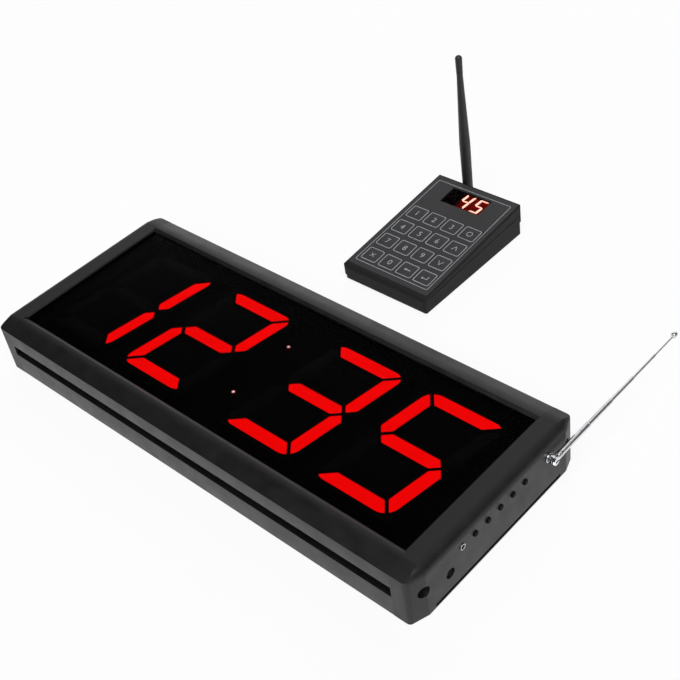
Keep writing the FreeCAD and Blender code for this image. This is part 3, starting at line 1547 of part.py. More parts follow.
def build_keypad_power_socket():
    """Power socket behind the hole in the upper shell's back wall."""
    start = KEYPAD_BACK - D.shell_wall - D.keypad_power_depth
    socket_body("keypad_power_socket", D.keypad_power_body, "sizes.keypad_power_depth",
                "sizes.keypad_power_depth - sizes.shell_wall",
                Vector(KEYPAD_POWER_X, start, D.keypad_power_height), Y_WAY)


# The rubber aerial on the keypad's back

WHIP_PIVOT = Vector(WHIP_X, KEYPAD_BACK + D.whip_axis_stand, D.whip_socket_height)


def build_whip_connector():
    """Threaded socket through the back wall with a flange outside and a stub for the knuckle."""
    face = Vector(WHIP_X, KEYPAD_BACK, D.whip_socket_height)
    flange = D.connector_flange_thickness
    stations = [
        (-D.shell_wall - D.connector_reach_in, D.connector_diameter / 2), (0, D.connector_diameter / 2),
        (0, D.connector_flange_diameter / 2), (flange, D.connector_flange_diameter / 2),
        (flange, D.connector_stub_diameter / 2), (flange + D.stub_length, D.connector_stub_diameter / 2)]
    turned_body("whip_connector", half_section(stations), face, Y_WAY)


def build_whip_knuckle():
    """Cap that turns on the connector's stub, with a tongue and two trunnions for the whip."""
    start = D.connector_flange_thickness + D.knuckle_gap - D.whip_axis_stand
    bore_end = D.connector_flange_thickness + D.stub_length + D.post_end_play - D.whip_axis_stand
    tall = D.knuckle_tongue_height / 2
    body = new_body("whip_knuckle")
    skirt = rounded_box_outline(D.knuckle_skirt, D.knuckle_diameter / 2, 0,
                                (start + D.knuckle_skirt / 2, D.knuckle_diameter / 4))
    turning_in(body, "Revolution", "knuckle_skirt", "YZ_Plane", skirt, "H_Axis")
    tongue = loop([(start, -tall), (tall, -tall, tall), (tall, tall, tall), (start, tall)])
    trunnion = circle(0, 0, D.trunnion_diameter)
    trunnion_width = "sizes.whip_diameter - 2 * sizes.lip_tip"
    for name, outline, width in (("knuckle_tongue", tongue, "sizes.knuckle_tongue"),
                                 ("knuckle_trunnions", trunnion, trunnion_width)):
        pad = pad_on(body, name, "YZ_Plane", [outline], width)
        pad.Midplane = True
    bore = [(-D.whip_axis_stand, 0), (bore_end, 0), (bore_end, D.knuckle_bore / 2),
            (-D.whip_axis_stand, D.knuckle_bore / 2)]
    turning_in(body, "Groove", "knuckle_bore", "YZ_Plane", bore, "H_Axis")
    body.Placement = Placement(WHIP_PIVOT, Rotation())


DOME_STEPS = 6


def build_whip():
    """Tapered rubber whip: forked foot, slight belly, ring groove and rounded tip."""
    belly = D.whip_belly_diameter / 2
    neck = D.whip_neck_diameter / 2
    tip = D.whip_tip_diameter / 2
    foot = D.whip_diameter / 2
    groove = D.whip_ring_groove
    ring = D.whip_ring_height
    stations = [
        (-D.whip_foot, foot - D.lip_tip), (-D.whip_foot + D.lip_tip, foot),
        (D.whip_belly_height, belly), (D.whip_neck_height, neck), (ring, neck + groove / 2),
        (ring, neck - groove), (ring + 2 * groove, neck - groove), (ring + 2 * groove, neck + groove / 2),
        (D.whip_tip_height - tip, tip)]
    for k in range(1, DOME_STEPS):
        angle = math.pi / 2 * k / DOME_STEPS
        stations.append((D.whip_tip_height - tip + tip * math.sin(angle), tip * math.cos(angle)))
    whip = turned(stations, WHIP_PIVOT, Z_WAY)
    around = D.whip_diameter
    floor = WHIP_PIVOT.z + D.whip_slot_floor
    half_slot = D.whip_slot / 2
    slot = block((WHIP_X - half_slot, WHIP_PIVOT.y - around, WHIP_PIVOT.z - around),
                 (WHIP_X + half_slot, WHIP_PIVOT.y + around, floor))
    bore = rod(D.trunnion_bore, WHIP_PIVOT - X_WAY * around, X_WAY, 2 * around)
    front = WHIP_PIVOT.y - D.whip_foot
    back = WHIP_PIVOT.y + D.whip_foot
    low = WHIP_PIVOT.z - D.whip_foot
    cheeks = along_x([(front, low, D.whip_foot), (back, low, D.whip_foot), (back, floor), (front, floor)],
                     WHIP_X - around, WHIP_X + around)
    lower = block((WHIP_X - around, WHIP_PIVOT.y - around, WHIP_PIVOT.z - around),
                  (WHIP_X + around, WHIP_PIVOT.y + around, floor))
    part_feature("rubber_whip", whip.cut([lower.cut(cheeks), slot, bore]))


def build_all():
    build_rail("top_rail", 1)
    build_rail("bottom_rail", -1)
    build_end_caps()
    build_end_cap_screws()
    build_window()
    build_back_panel()
    build_digit_board()
    build_digits()
    build_colon()
    build_control_board()
    build_tact_switches()
    build_set_buttons()
    build_sockets()
    build_aerial_bush()
    build_aerial_swivel()
    build_pivot_pin()
    build_elbow()
    build_tubes()
    build_top_shell()
    build_bottom_shell()
    build_feet()
    build_faceplate()
    build_keys()
    build_keypad_board()
    build_key_switches()
    build_readout()
    build_keypad_screws()
    build_keypad_power_socket()
    build_whip_connector()
    build_whip_knuckle()
    build_whip()


def check_document():
    """Stop if any object failed or any sub-part's shape is empty or invalid."""
    for item in DOC.Objects:
        if "Invalid" in item.State or "Error" in item.State:
            raise RuntimeError("object failed: " + item.Label)
    for item in PARTS:
        if item.Shape.isNull() or not item.Shape.isValid() or not item.Shape.Solids:
            raise RuntimeError("bad shape: " + item.Label)


build_all()
DOC.recompute()
check_document()
os.makedirs("parts", exist_ok=True)
for item in PARTS:
    item.Shape.exportStep("parts/" + item.Label + ".step")
    box = item.Shape.BoundBox
    print("%-22s solids %2d  volume %11.1f  x %7.1f..%7.1f  y %7.1f..%7.1f  z %6.1f..%6.1f" % (
        item.Label, len(item.Shape.Solids), item.Shape.Volume,
        box.XMin, box.XMax, box.YMin, box.YMax, box.ZMin, box.ZMax))
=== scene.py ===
"""Dresses a wireless number display, its telescopic aerial and its keypad transmitter.

Sizes are written in millimetres, as on the drawing, and turned into metres when a mesh is made.
"""

import json
import logging
import math
from dataclasses import dataclass, field
from enum import Enum
from typing import ClassVar, Optional, Sequence, Union

import bmesh
import bpy
import numpy as np
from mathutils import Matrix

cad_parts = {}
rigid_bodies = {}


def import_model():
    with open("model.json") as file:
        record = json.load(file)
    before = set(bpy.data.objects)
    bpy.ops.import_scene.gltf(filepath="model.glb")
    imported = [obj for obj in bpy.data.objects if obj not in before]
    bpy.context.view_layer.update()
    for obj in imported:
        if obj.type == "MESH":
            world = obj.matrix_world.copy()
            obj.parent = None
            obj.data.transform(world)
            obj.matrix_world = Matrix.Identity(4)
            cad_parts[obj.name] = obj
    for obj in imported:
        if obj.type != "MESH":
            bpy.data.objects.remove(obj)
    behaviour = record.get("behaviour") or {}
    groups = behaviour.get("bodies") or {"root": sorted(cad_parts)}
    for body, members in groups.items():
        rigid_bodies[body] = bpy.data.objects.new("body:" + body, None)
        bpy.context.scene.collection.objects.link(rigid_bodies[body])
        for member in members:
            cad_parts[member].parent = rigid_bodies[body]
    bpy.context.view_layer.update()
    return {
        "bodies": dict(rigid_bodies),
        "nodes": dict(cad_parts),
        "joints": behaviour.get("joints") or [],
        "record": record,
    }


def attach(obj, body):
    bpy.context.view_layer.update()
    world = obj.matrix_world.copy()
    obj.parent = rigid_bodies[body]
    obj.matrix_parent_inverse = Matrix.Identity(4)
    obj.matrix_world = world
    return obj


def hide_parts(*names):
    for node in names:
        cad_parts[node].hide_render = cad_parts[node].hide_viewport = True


LOG = logging.getLogger("display_set")
MM = 0.001
NEAR_ZERO = 1e-9  # keeps divisions safe
LEAST_TURN = 1e-6  # radians
LEAST_MITRE = 0.2  # keeps sharp mitres short
SAME_POINT = 1e-4  # millimetres
WELD_DISTANCE = 2e-6  # metres
FLAT_ANGLE = math.radians(0.4)
CRISP_ANGLE = math.radians(28.0)

Pair = tuple[float, float]
Triple = tuple[float, float, float]
Colour = Triple
Rows = Sequence[Sequence[float]]


# Outlines and surfaces


def rounded(corners: Rows, steps: int) -> np.ndarray:
    """Turns an outline with a radius at each corner into points.

    Each corner gets an arc that touches both of its edges: its centre lies on the corner's
    bisector, at the radius over the sine of the half angle.

    Args:
        corners: Rows of x, y and radius, in order round the outline.
        steps: Points on each arc.

    Returns:
        Points of the closed outline, without repeats.
    """
    rows = np.array(corners, float)
    spot, radius = rows[:, :2], rows[:, 2:]
    before = np.roll(spot, 1, axis=0) - spot
    after = np.roll(spot, -1, axis=0) - spot
    before /= np.linalg.norm(before, axis=1, keepdims=True)
    after /= np.linalg.norm(after, axis=1, keepdims=True)
    half = np.arccos(np.clip((before * after).sum(1, keepdims=True), -1, 1)) / 2
    middle = before + after
    length = np.linalg.norm(middle, axis=1, keepdims=True)
    middle = np.divide(middle, length, out=np.zeros_like(middle), where=length > NEAR_ZERO)
    centre = spot + middle * radius / np.sin(half)
    reach = radius / np.tan(np.maximum(half, NEAR_ZERO))
    first = spot + before * reach - centre
    last = spot + after * reach - centre
    turn = np.maximum(math.pi - 2 * half, LEAST_TURN)[:, None, :]
    share = np.linspace(0, 1, steps)[None, :, None]
    arc = first[:, None] * np.sin((1 - share) * turn) + last[:, None] * np.sin(share * turn)
    points = (centre[:, None] + arc / np.sin(turn)).reshape(-1, 2)
    apart = np.linalg.norm(points - np.roll(points, 1, axis=0), axis=1) > SAME_POINT
    return points[apart]


def box_outline(width: float, length: float, radius: float,
                centre: Sequence[float] = (0, 0)) -> np.ndarray:
    """Points of a rounded rectangle, anticlockwise."""
    a, b = width / 2, length / 2
    signs = ((-1, -1), (1, -1), (1, 1), (-1, 1))
    return rounded([(centre[0] + a * i, centre[1] + b * j, radius) for i, j in signs], 8)


def mitres(points: np.ndarray, loop: bool = True) -> np.ndarray:
    """Way of each point to the right of its line, long enough to move both its edges by one."""
    step = np.roll(points, -1, axis=0) - points
    if not loop:
        step[-1] = step[-2]
    normal = np.stack([step[:, 1], -step[:, 0]], 1)
    normal /= np.linalg.norm(normal, axis=1, keepdims=True)
    other = np.roll(normal, 1, axis=0)
    if not loop:
        other[0] = normal[0]
    return (normal + other) / np.maximum(1 + (normal * other).sum(1, keepdims=True), LEAST_MITRE)


def grown(outline: np.ndarray, distance: float) -> np.ndarray:
    """Moves every edge of an anticlockwise outline out by a distance, with mitred corners."""
    return outline + mitres(outline) * distance


@dataclass(frozen=True)
class Seat:
    """A place and three square directions: across, along and out of a face."""

    origin: Triple = (0.0, 0.0, 0.0)
    across: Triple = (1.0, 0.0, 0.0)
    along: Triple = (0.0, 1.0, 0.0)
    out: Triple = (0.0, 0.0, 1.0)

    def put(self, points: np.ndarray) -> np.ndarray:
        """Takes points from seat coordinates to the object's."""
        return np.array(self.origin) + points @ np.array([self.across, self.along, self.out])

    def moved(self, across: float, along: float) -> "Seat":
        """The same directions from another place on the seat."""
        place = self.put(np.array([across, along, 0.0], float))
        return Seat(tuple(place), self.across, self.along, self.out)


UP = Seat()
ALONG_X = Seat(across=(0, 1, 0), along=(0, 0, 1), out=(1, 0, 0))


@dataclass
class Surface:
    """Corners and faces of a computed surface, in millimetres."""

    corners: np.ndarray
    faces: list[np.ndarray]

    @classmethod
    def from_rings(cls, rings: np.ndarray, loop: bool = False) -> "Surface":
        """Skins a stack of rings with quads.

        Args:
            rings: Array of rings by points by 3, each ring anticlockwise seen from the last.
            loop: Joins the last ring to the first, in place of a flat panel at each end.

        Returns:
            The closed surface.
        """
        count, size = rings.shape[:2]
        index = np.arange(count * size).reshape(count, size)
        if loop:
            index = np.vstack([index, index[:1]])
        low, high = index[:-1], index[1:]
        quads = np.stack([low, np.roll(low, -1, 1), np.roll(high, -1, 1), high], 2).reshape(-1, 4)
        faces = list(quads)
        if not loop:
            faces += [index[0][::-1], index[-1]]
        return cls(rings.reshape(-1, 3), faces)

    @classmethod
    def joined(cls, parts: Sequence["Surface"]) -> "Surface":
        """Puts several surfaces in one."""
        starts = np.cumsum([0] + [len(part.corners) for part in parts])
        faces = [face + start for part, start in zip(parts, starts) for face in part.faces]
        return cls(np.vstack([part.corners for part in parts]), faces)

    def mirrored(self, axis: int) -> "Surface":
        """The surface on the other side of the middle plane of an axis."""
        signs = np.ones(3)
        signs[axis] = -1
        return Surface(self.corners * signs, [face[::-1] for face in self.faces])

    def mesh(self, name: str) -> bpy.types.Mesh:
        """Makes the mesh in metres."""
        data = bpy.data.meshes.new(name)
        data.from_pydata((self.corners * MM).tolist(), [], [face.tolist() for face in self.faces])
        data.update()
        return data


def stacked(flat: np.ndarray, heights: np.ndarray, seat: Seat) -> Surface:
    """Skins flat rings, each at its own height above the seat."""
    level = np.broadcast_to(heights[:, None, None], flat.shape[:2] + (1,))
    return Surface.from_rings(seat.put(np.concatenate([flat, level], 2)))


def slab(outline: np.ndarray, low: float, high: float, edge: float, seat: Seat = UP,
         steps: int = 4) -> Surface:
    """A plate with rounded edges.

    Its rings follow a quarter circle at the bottom and another at the top: inset by the edge
    radius times one minus the sine, raised by the radius times one minus the cosine.

    Args:
        outline: Anticlockwise points in the seat's plane.
        low: Height of the lower face.
        high: Height of the upper face.
        edge: Radius of the edges.
        seat: Where the plate lies.
        steps: Rings on each rounded edge.

    Returns:
        The closed surface.
    """
    angle = np.linspace(0, math.pi / 2, steps)
    inset = edge * (1 - np.sin(angle))
    rise = edge * (1 - np.cos(angle))
    insets = np.concatenate([inset, inset[::-1]])
    heights = np.concatenate([low + rise, high - rise[::-1]])
    return stacked(np.stack([grown(outline, -distance) for distance in insets]), heights, seat)


def lathe(stations: Rows, seat: Seat, around: int = 48) -> Surface:
    """A turned shape: each station of distance and radius is a circle about the seat's axis."""
    rows = np.array(stations, float)
    angle = np.linspace(0, 2 * math.pi, around, endpoint=False)
    circle = np.stack([np.cos(angle), np.sin(angle)], 1)
    return stacked(rows[:, 1, None, None] * circle[None], rows[:, 0], seat)


def ribbon(points: np.ndarray, width: float, low: float, high: float, seat: Seat,
           loop: bool) -> Surface:
    """A flat printed line of even width: a small upright rectangle carried along the points."""
    side = mitres(points, loop)
    left, right = points - side * width / 2, points + side * width / 2
    ends = [np.column_stack([edge, np.full(len(points), height)])
            for edge, height in ((left, high), (right, high), (right, low), (left, low))]
    return Surface.from_rings(seat.put(np.stack(ends, 1)), loop=loop)


def placed(name: str, data: bpy.types.ID) -> bpy.types.Object:
    """Makes an object of a mesh, curve, lamp or camera and puts it in the scene."""
    holder = bpy.data.objects.new(name, data)
    bpy.context.scene.collection.objects.link(holder)
    return holder


def turned(holder: bpy.types.Object, place: Triple, turn: Triple) -> bpy.types.Object:
    """Sets an object's place in metres and its turn in degrees."""
    holder.location = place
    holder.rotation_euler = [math.radians(angle) for angle in turn]
    return holder


def shaped(holder: bpy.types.Object) -> bpy.types.Mesh:
    """The mesh that an object comes to with its modifiers; the object itself goes."""
    bpy.context.view_layer.update()
    graph = bpy.context.evaluated_depsgraph_get()
    data = bpy.data.meshes.new_from_object(holder.evaluated_get(graph))
    bpy.data.objects.remove(holder)
    return data


def glyph(text: str, height: float, thickness: float, seat: Seat) -> Surface:
    """A character of the built-in typeface as thin raised print, centred on the seat."""
    curve = bpy.data.curves.new("glyph", "FONT")
    curve.body = text
    curve.resolution_u = 6
    data = shaped(placed("glyph", curve))
    flat = np.empty(len(data.vertices) * 3)
    data.vertices.foreach_get("co", flat)
    flat = flat.reshape(-1, 3)
    low, high = flat.min(0), flat.max(0)
    flat = (flat - (low + high) / 2) * height / (high[1] - low[1])
    faces = [np.array(face.vertices) for face in data.polygons]
    turns = [np.cross(flat[f[1]] - flat[f[0]], flat[f[2]] - flat[f[1]])[2] for f in faces]
    faces = [face if turn > 0 else face[::-1] for face, turn in zip(faces, turns)]
    bpy.data.curves.remove(curve)
    bpy.data.meshes.remove(data)
    flat[:, 2] = thickness
    return Surface(seat.put(flat), faces)


def segment_outlines(width: float, height: float, stroke: float, gap: float,
                     radius: float) -> dict[str, np.ndarray]:
    """Outlines of the segments a to g of an upright digit about its centre.

    The digit's outer corners are arcs that end half a gap before the mitre between two segments;
    an upright segment's arc is the level segment's, mirrored in the corner's diagonal.

    Args:
        width: Width of the digit.
        height: Height of the digit.
        stroke: Width of a segment.
        gap: Gap between neighbours, measured square to their mitred ends.
        radius: Radius of the digit's outer corners.

    Returns:
        Anticlockwise points by letter.
    """
    a, b, half = width / 2, height / 2, stroke / 2
    mitre = gap * math.sqrt(2) / 2
    angle = math.pi / 2 - np.linspace(0, math.pi / 4 - math.asin(gap / 2 / radius), 9)
    arc = np.array([a - radius, b - radius]) + radius * np.stack([np.cos(angle), np.sin(angle)], 1)
    left = np.array([-1, 1])
    top = np.vstack([arc * left, [(-a + stroke + mitre, b - stroke), (a - stroke - mitre, b - stroke)],
                     arc[::-1]])
    right = np.vstack([arc[:, ::-1] + np.array([a - b, b - a]),
                       [(a - stroke, b - stroke - mitre), (a - stroke, half + mitre),
                        (a - half, mitre), (a, half + mitre)]])[::-1]
    middle = np.array([(-a + half + mitre, 0), (-a + stroke + mitre, -half),
                       (a - stroke - mitre, -half), (a - half - mitre, 0),
                       (a - stroke - mitre, half), (-a + stroke + mitre, half)])
    return {"a": top, "b": right, "c": (right * -left)[::-1], "d": (top * -left)[::-1],
            "e": -right, "f": (right * left)[::-1], "g": middle}


LIT = {"1": "bc", "2": "abged", "3": "abgcd", "4": "fgbc", "5": "afgcd"}


def leaning(outline: np.ndarray, slant: float, place: Sequence[float]) -> np.ndarray:
    """Leans an upright outline to the right and moves it to its place."""
    return outline @ np.array([[1, 0], [slant, 1]]) + np.array(place)


# Materials


class Wire:
    """A value on its way through a material's nodes, open to sums."""

    def __init__(self, shader: "Shader", socket: bpy.types.NodeSocket) -> None:
        self.shader = shader
        self.socket = socket

    def _sum(self, operation: str, first: "Number", second: "Number") -> "Wire":
        return self.shader.node("ShaderNodeMath", {"operation": operation}, {0: first, 1: second})

    def __add__(self, other: "Number") -> "Wire":
        return self._sum("ADD", self, other)

    def __radd__(self, other: "Number") -> "Wire":
        return self._sum("ADD", other, self)

    def __sub__(self, other: "Number") -> "Wire":
        return self._sum("SUBTRACT", self, other)

    def __rsub__(self, other: "Number") -> "Wire":
        return self._sum("SUBTRACT", other, self)

    def __mul__(self, other: "Number") -> "Wire":
        return self._sum("MULTIPLY", self, other)


Number = Union[Wire, float]


class Shader:
    """One material and its node tree."""

    def __init__(self, name: str) -> None:
        self.material = bpy.data.materials.new(name)
        self.material.use_nodes = True
        self.tree = self.material.node_tree
        self.tree.nodes.clear()
        self.end = self.tree.nodes.new("ShaderNodeOutputMaterial")
        self.surface: Optional[Wire] = None
        self.place = self.node("ShaderNodeTexCoord", {}, {}, "Object")

    def node(self, kind: str, settings: dict, inputs: dict, output: Union[int, str] = 0) -> Wire:
        """Adds a node.

        Args:
            kind: Type of the node.
            settings: Its properties, set before its sockets.
            inputs: Values or wires by socket name or number.
            output: The socket that the wire starts from.

        Returns:
            The wire from that output.
        """
        made = self.tree.nodes.new(kind)
        for key, value in settings.items():
            setattr(made, key, value)
        for key, value in inputs.items():
            if isinstance(value, Wire):
                self.tree.links.new(value.socket, made.inputs[key])
            else:
                made.inputs[key].default_value = value
        return Wire(self, made.outputs[output])

    def noise(self, size: float, stretch: Sequence[float] = (1, 1, 1), detail: float = 3.0) -> Wire:
        """Noise with features of a size in millimetres, longer where the stretch is more."""
        scale = tuple(1 / s for s in stretch)
        place = self.node("ShaderNodeMapping", {}, {"Vector": self.place, "Scale": scale})
        inputs = {"Vector": place, "Scale": 1 / (size * MM), "Detail": detail}
        return self.node("ShaderNodeTexNoise", {}, inputs)

    def cells(self, size: float) -> Wire:
        """Distance from the middles of cells of a size in millimetres, such as a moulding grain."""
        inputs = {"Vector": self.place, "Scale": 1 / (size * MM)}
        return self.node("ShaderNodeTexVoronoi", {}, inputs, "Distance")

    def ramp(self, value: Wire, low: float, high: float, to_low: float = 0.0,
             to_high: float = 1.0) -> Wire:
        """Spreads the part of a value between two levels over a new range."""
        inputs = {"Value": value, 1: low, 2: high, 3: to_low, 4: to_high}
        return self.node("ShaderNodeMapRange", {}, inputs)

    def blend(self, share: Wire, first: Union[Wire, Colour], second: Union[Wire, Colour]) -> Wire:
        """Mixes two colours."""
        pair = [value if isinstance(value, Wire) else (*value, 1.0) for value in (first, second)]
        return self.node("ShaderNodeMix", {"data_type": "RGBA"}, {0: share, 6: pair[0], 7: pair[1]}, 2)

    def bump(self, height: Wire, depth: float) -> Wire:
        """Relief with a depth in millimetres."""
        inputs = {"Height": height, "Distance": depth * MM, "Strength": 1.0}
        return self.node("ShaderNodeBump", {}, inputs)

    def principled(self, **sockets: Union[Wire, float, Colour]) -> bpy.types.Material:
        """Ends the tree in a principled surface. Underscores in names stand for spaces."""
        inputs = {}
        for key, value in sockets.items():
            if isinstance(value, tuple):
                value = (*value, 1.0)
            inputs[key.replace("_", " ")] = value
        self.node_output(self.node("ShaderNodeBsdfPrincipled", {}, inputs))
        return self.material

    def node_output(self, surface: Wire) -> None:
        """Links a finished surface to the material's output."""
        self.surface = surface
        self.tree.links.new(surface.socket, self.end.inputs["Surface"])


def grey(level: float) -> Colour:
    """A neutral grey."""
    return (level, level, level)


@dataclass(frozen=True)
class Finish:
    """A named finish, made once and shared."""

    name: str
    made: ClassVar[dict[str, bpy.types.Material]] = {}

    def material(self) -> bpy.types.Material:
        """The finish's material."""
        if self.name not in Finish.made:
            Finish.made[self.name] = self.shaded(Shader(self.name))
        return Finish.made[self.name]

    def shaded(self, shader: Shader) -> bpy.types.Material:
        """Builds the node tree."""
        raise NotImplementedError


@dataclass(frozen=True)
class Coating(Finish):
    """A dark paint, plastic or rubber: mottled colour, uneven sheen, grain and handling marks."""

    dark: Colour = (0.012, 0.012, 0.013)
    light: Colour = (0.022, 0.022, 0.024)
    sheen: Pair = (0.4, 0.52)
    specular: float = 0.5
    mottle: float = 14.0
    grain: float = 0.45
    depth: float = 0.03
    stretch: Triple = (1.0, 1.0, 1.0)
    cellular: bool = False

    def shaded(self, shader: Shader) -> bpy.types.Material:
        """Grain relief under a slow change of colour, with faint rubbed streaks in the sheen."""
        slow = shader.noise(self.mottle, detail=5.0)
        fine = shader.cells(self.grain) if self.cellular else shader.noise(self.grain)
        lines = shader.noise(self.grain * 1.6, self.stretch, 2.0)
        rubbed = shader.ramp(shader.noise(self.mottle * 2.2, (1, 3, 1), 6.0), 0.52, 0.72)
        colour = shader.blend(slow * 0.7 + fine * 0.3, self.dark, self.light)
        sheen = shader.ramp(slow, 0.3, 0.7, *self.sheen) + fine * 0.06 - rubbed * 0.05
        relief = shader.bump(fine * 0.6 + lines * 0.4, self.depth)
        return shader.principled(Base_Color=colour, Roughness=sheen, Normal=relief,
                                 Specular_IOR_Level=self.specular)


@dataclass(frozen=True)
class Metal(Finish):
    """Bare or plated metal with drawing lines, fine scratches and a little tarnish."""

    bright: Colour = (0.72, 0.73, 0.75)
    dull: Colour = (0.5, 0.5, 0.52)
    sheen: Pair = (0.1, 0.24)
    lines: float = 0.25
    stretch: Triple = (1.0, 30.0, 1.0)

    def shaded(self, shader: Shader) -> bpy.types.Material:
        """Stretched noise for the drawing lines, spots of tarnish in colour and sheen."""
        drawn = shader.noise(self.lines, self.stretch, 4.0)
        spots = shader.ramp(shader.noise(3.0, detail=6.0), 0.5, 0.75)
        colour = shader.blend(spots, self.bright, self.dull)
        sheen = shader.ramp(drawn, 0.3, 0.7, *self.sheen) + spots * 0.1
        return shader.principled(Base_Color=colour, Metallic=1.0, Roughness=sheen,
                                 Normal=shader.bump(drawn, 0.004))


@dataclass(frozen=True)
class Pane(Finish):
    """Tinted clear sheet, polished, with faint wiping marks and settled dust."""

    tint: Colour = grey(0.002)
    opacity: float = 0.35
    sheen: Pair = (0.06, 0.14)
    specular: float = 0.1

    def shaded(self, shader: Shader) -> bpy.types.Material:
        """Dust specks in the colour, wiping marks in the sheen."""
        wiped = shader.noise(30.0, (4, 1, 1), 5.0)
        specks = shader.ramp(shader.cells(9.0), 0.0, 0.03, 1.0, 0.0)
        colour = shader.blend(specks * 0.2, self.tint, grey(0.02))
        sheen = shader.ramp(wiped, 0.35, 0.7, *self.sheen)
        return shader.principled(Base_Color=colour, Roughness=sheen, Alpha=self.opacity,
                                 Specular_IOR_Level=self.specular)


@dataclass(frozen=True)
class Glow(Finish):
    """A lit surface, a little uneven as the lamps behind it are; also painted light, where a surface that
    is no lamp is made to glow.
    """

    low: Colour = (0.75, 0.0, 0.0)
    high: Colour = (0.95, 0.002, 0.001)
    strength: float = 1.0
    spacing: float = 9.0
    base: Colour = (0.01, 0.0, 0.0)
    # Along x, in mm, where the glow fades in from none to full; only the painted light spill behind the
    # keypad digits sets it
    dawn: Pair = (-2000.0, -1000.0)

    def shaded(self, shader: Shader) -> bpy.types.Material:
        """Soft hot spots in the light over a frosted face; none left of the dawn, full right of it."""
        spots = shader.noise(self.spacing, detail=1.0)
        frost = shader.noise(0.4)
        colour = shader.blend(shader.ramp(spots, 0.3, 0.7), self.low, self.high)
        across = shader.node("ShaderNodeSeparateXYZ", {}, {0: shader.place}, "X")
        lit = shader.ramp(across, self.dawn[0] * MM, self.dawn[1] * MM)
        return shader.principled(Base_Color=self.base, Roughness=0.5 + frost * 0.2,
                                 Specular_IOR_Level=0.05, Emission_Strength=self.strength,
                                 Emission_Color=shader.blend(lit, grey(0.0), colour),
                                 Normal=shader.bump(frost, 0.01))


@dataclass(frozen=True)
class Board(Finish):
    """Circuit board: solder mask over tracks that run both ways, with tinned pads."""

    mask: Colour = (0.006, 0.04, 0.012)
    track: Colour = (0.014, 0.085, 0.026)
    pad: Colour = (0.5, 0.5, 0.48)

    def shaded(self, shader: Shader) -> bpy.types.Material:
        """Stretched noise cut to bands for the tracks, round cells for the pads."""
        across = shader.noise(2.2, (14, 1, 1), 0.0)
        along = shader.noise(2.2, (1, 14, 14), 0.0)
        band = shader.ramp(across, 0.5, 0.53) * 0.6 + shader.ramp(along, 0.52, 0.55) * 0.6
        pads = shader.ramp(shader.cells(4.5), 0.14, 0.17, 1.0, 0.0)
        colour = shader.blend(pads, shader.blend(band, self.mask, self.track), self.pad)
        return shader.principled(Base_Color=colour, Roughness=0.45 - pads * 0.15, Metallic=pads * 0.9,
                                 Normal=shader.bump(band + pads, 0.035))


@dataclass(frozen=True)
class Ink(Finish):
    """Screen-printed ink with a slightly ragged density."""

    colour: Colour = (0.42, 0.43, 0.45)
    thin: Colour = (0.27, 0.28, 0.3)

    def shaded(self, shader: Shader) -> bpy.types.Material:
        """Fine speckle in colour and sheen."""
        speckle = shader.noise(0.5, detail=4.0)
        colour = shader.blend(shader.ramp(speckle, 0.35, 0.65), self.thin, self.colour)
        return shader.principled(Base_Color=colour, Roughness=0.55 + speckle * 0.15)


@dataclass(frozen=True)
class Paper(Finish):
    """The pale table top that the set lies on."""

    pale: Colour = grey(0.94)
    shade: Colour = grey(0.92)
    whitening: float = 0.85

    def shaded(self, shader: Shader) -> bpy.types.Material:
        """Barely visible mottling. Seen straight, in gloss or through glass it nears plain white."""
        slow = shader.noise(120.0, detail=4.0)
        fine = shader.noise(0.8)
        shader.principled(Base_Color=shader.blend(slow, self.shade, self.pale),
                          Roughness=0.8 + fine * 0.1, Specular_IOR_Level=0.2,
                          Normal=shader.bump(fine, 0.01))
        paper = shader.surface
        white = shader.node("ShaderNodeEmission", {}, {"Color": (1.0, 1.0, 1.0, 1.0), "Strength": 1.0})
        rays = [shader.node("ShaderNodeLightPath", {}, {}, name)
                for name in ("Is Camera Ray", "Is Glossy Ray", "Is Transmission Ray")]
        share = (rays[0] + rays[1] + rays[2]) * self.whitening
        shader.node_output(shader.node("ShaderNodeMixShader", {}, {0: share, 1: paper, 2: white}))
        return shader.material


POWDER_COAT = Coating(
    "powder_coat", dark=(0.003, 0.003, 0.0033), light=(0.006, 0.006, 0.0065), sheen=(0.34, 0.44),
    specular=0.46, grain=0.35, depth=0.02, stretch=(40, 1, 1))
CAP_PLASTIC = Coating(
    "cap_plastic", dark=(0.005, 0.005, 0.0055), light=(0.009, 0.009, 0.0098), sheen=(0.38, 0.48),
    specular=0.38, grain=0.5, depth=0.03, cellular=True)
BLACK_SHEET = Coating("black_sheet", sheen=(0.5, 0.62), grain=0.6, depth=0.02, stretch=(60, 1, 1))
BLACK_PLASTIC = Coating(
    "black_plastic", dark=grey(0.004), light=(0.008, 0.008, 0.009), sheen=(0.35, 0.5), grain=0.3,
    depth=0.01)
BUTTON_BLACK = Coating(
    "button_black", dark=grey(0.0012), light=grey(0.0025), sheen=(0.45, 0.6), specular=0.05, grain=0.3,
    depth=0.01)
REFLECTOR_BLACK = Coating(
    "reflector_black", dark=grey(0.0004), light=grey(0.001), sheen=(0.7, 0.85), specular=0.02,
    grain=0.4, depth=0.006)
DARK_BAR = Coating(
    "dark_bar", dark=(0.0016, 0.001, 0.001), light=(0.003, 0.0015, 0.0015), sheen=(0.55, 0.7),
    specular=0.05, grain=0.5, depth=0.006)
KEYPAD_PLASTIC = Coating(
    "keypad_plastic", dark=(0.014, 0.014, 0.015), light=(0.022, 0.022, 0.023), sheen=(0.42, 0.52),
    specular=0.07, grain=0.35, depth=0.03, cellular=True)
PRINTED_FILM = Coating(
    "printed_film", dark=(0.026, 0.026, 0.028), light=(0.033, 0.033, 0.0355), sheen=(0.5, 0.6),
    specular=0.33, grain=0.22, depth=0.012)
KEY_PLASTIC = Coating(
    "key_plastic", dark=(0.026, 0.026, 0.028), light=(0.033, 0.033, 0.0355), sheen=(0.5, 0.6),
    specular=0.35, grain=0.22, depth=0.012)
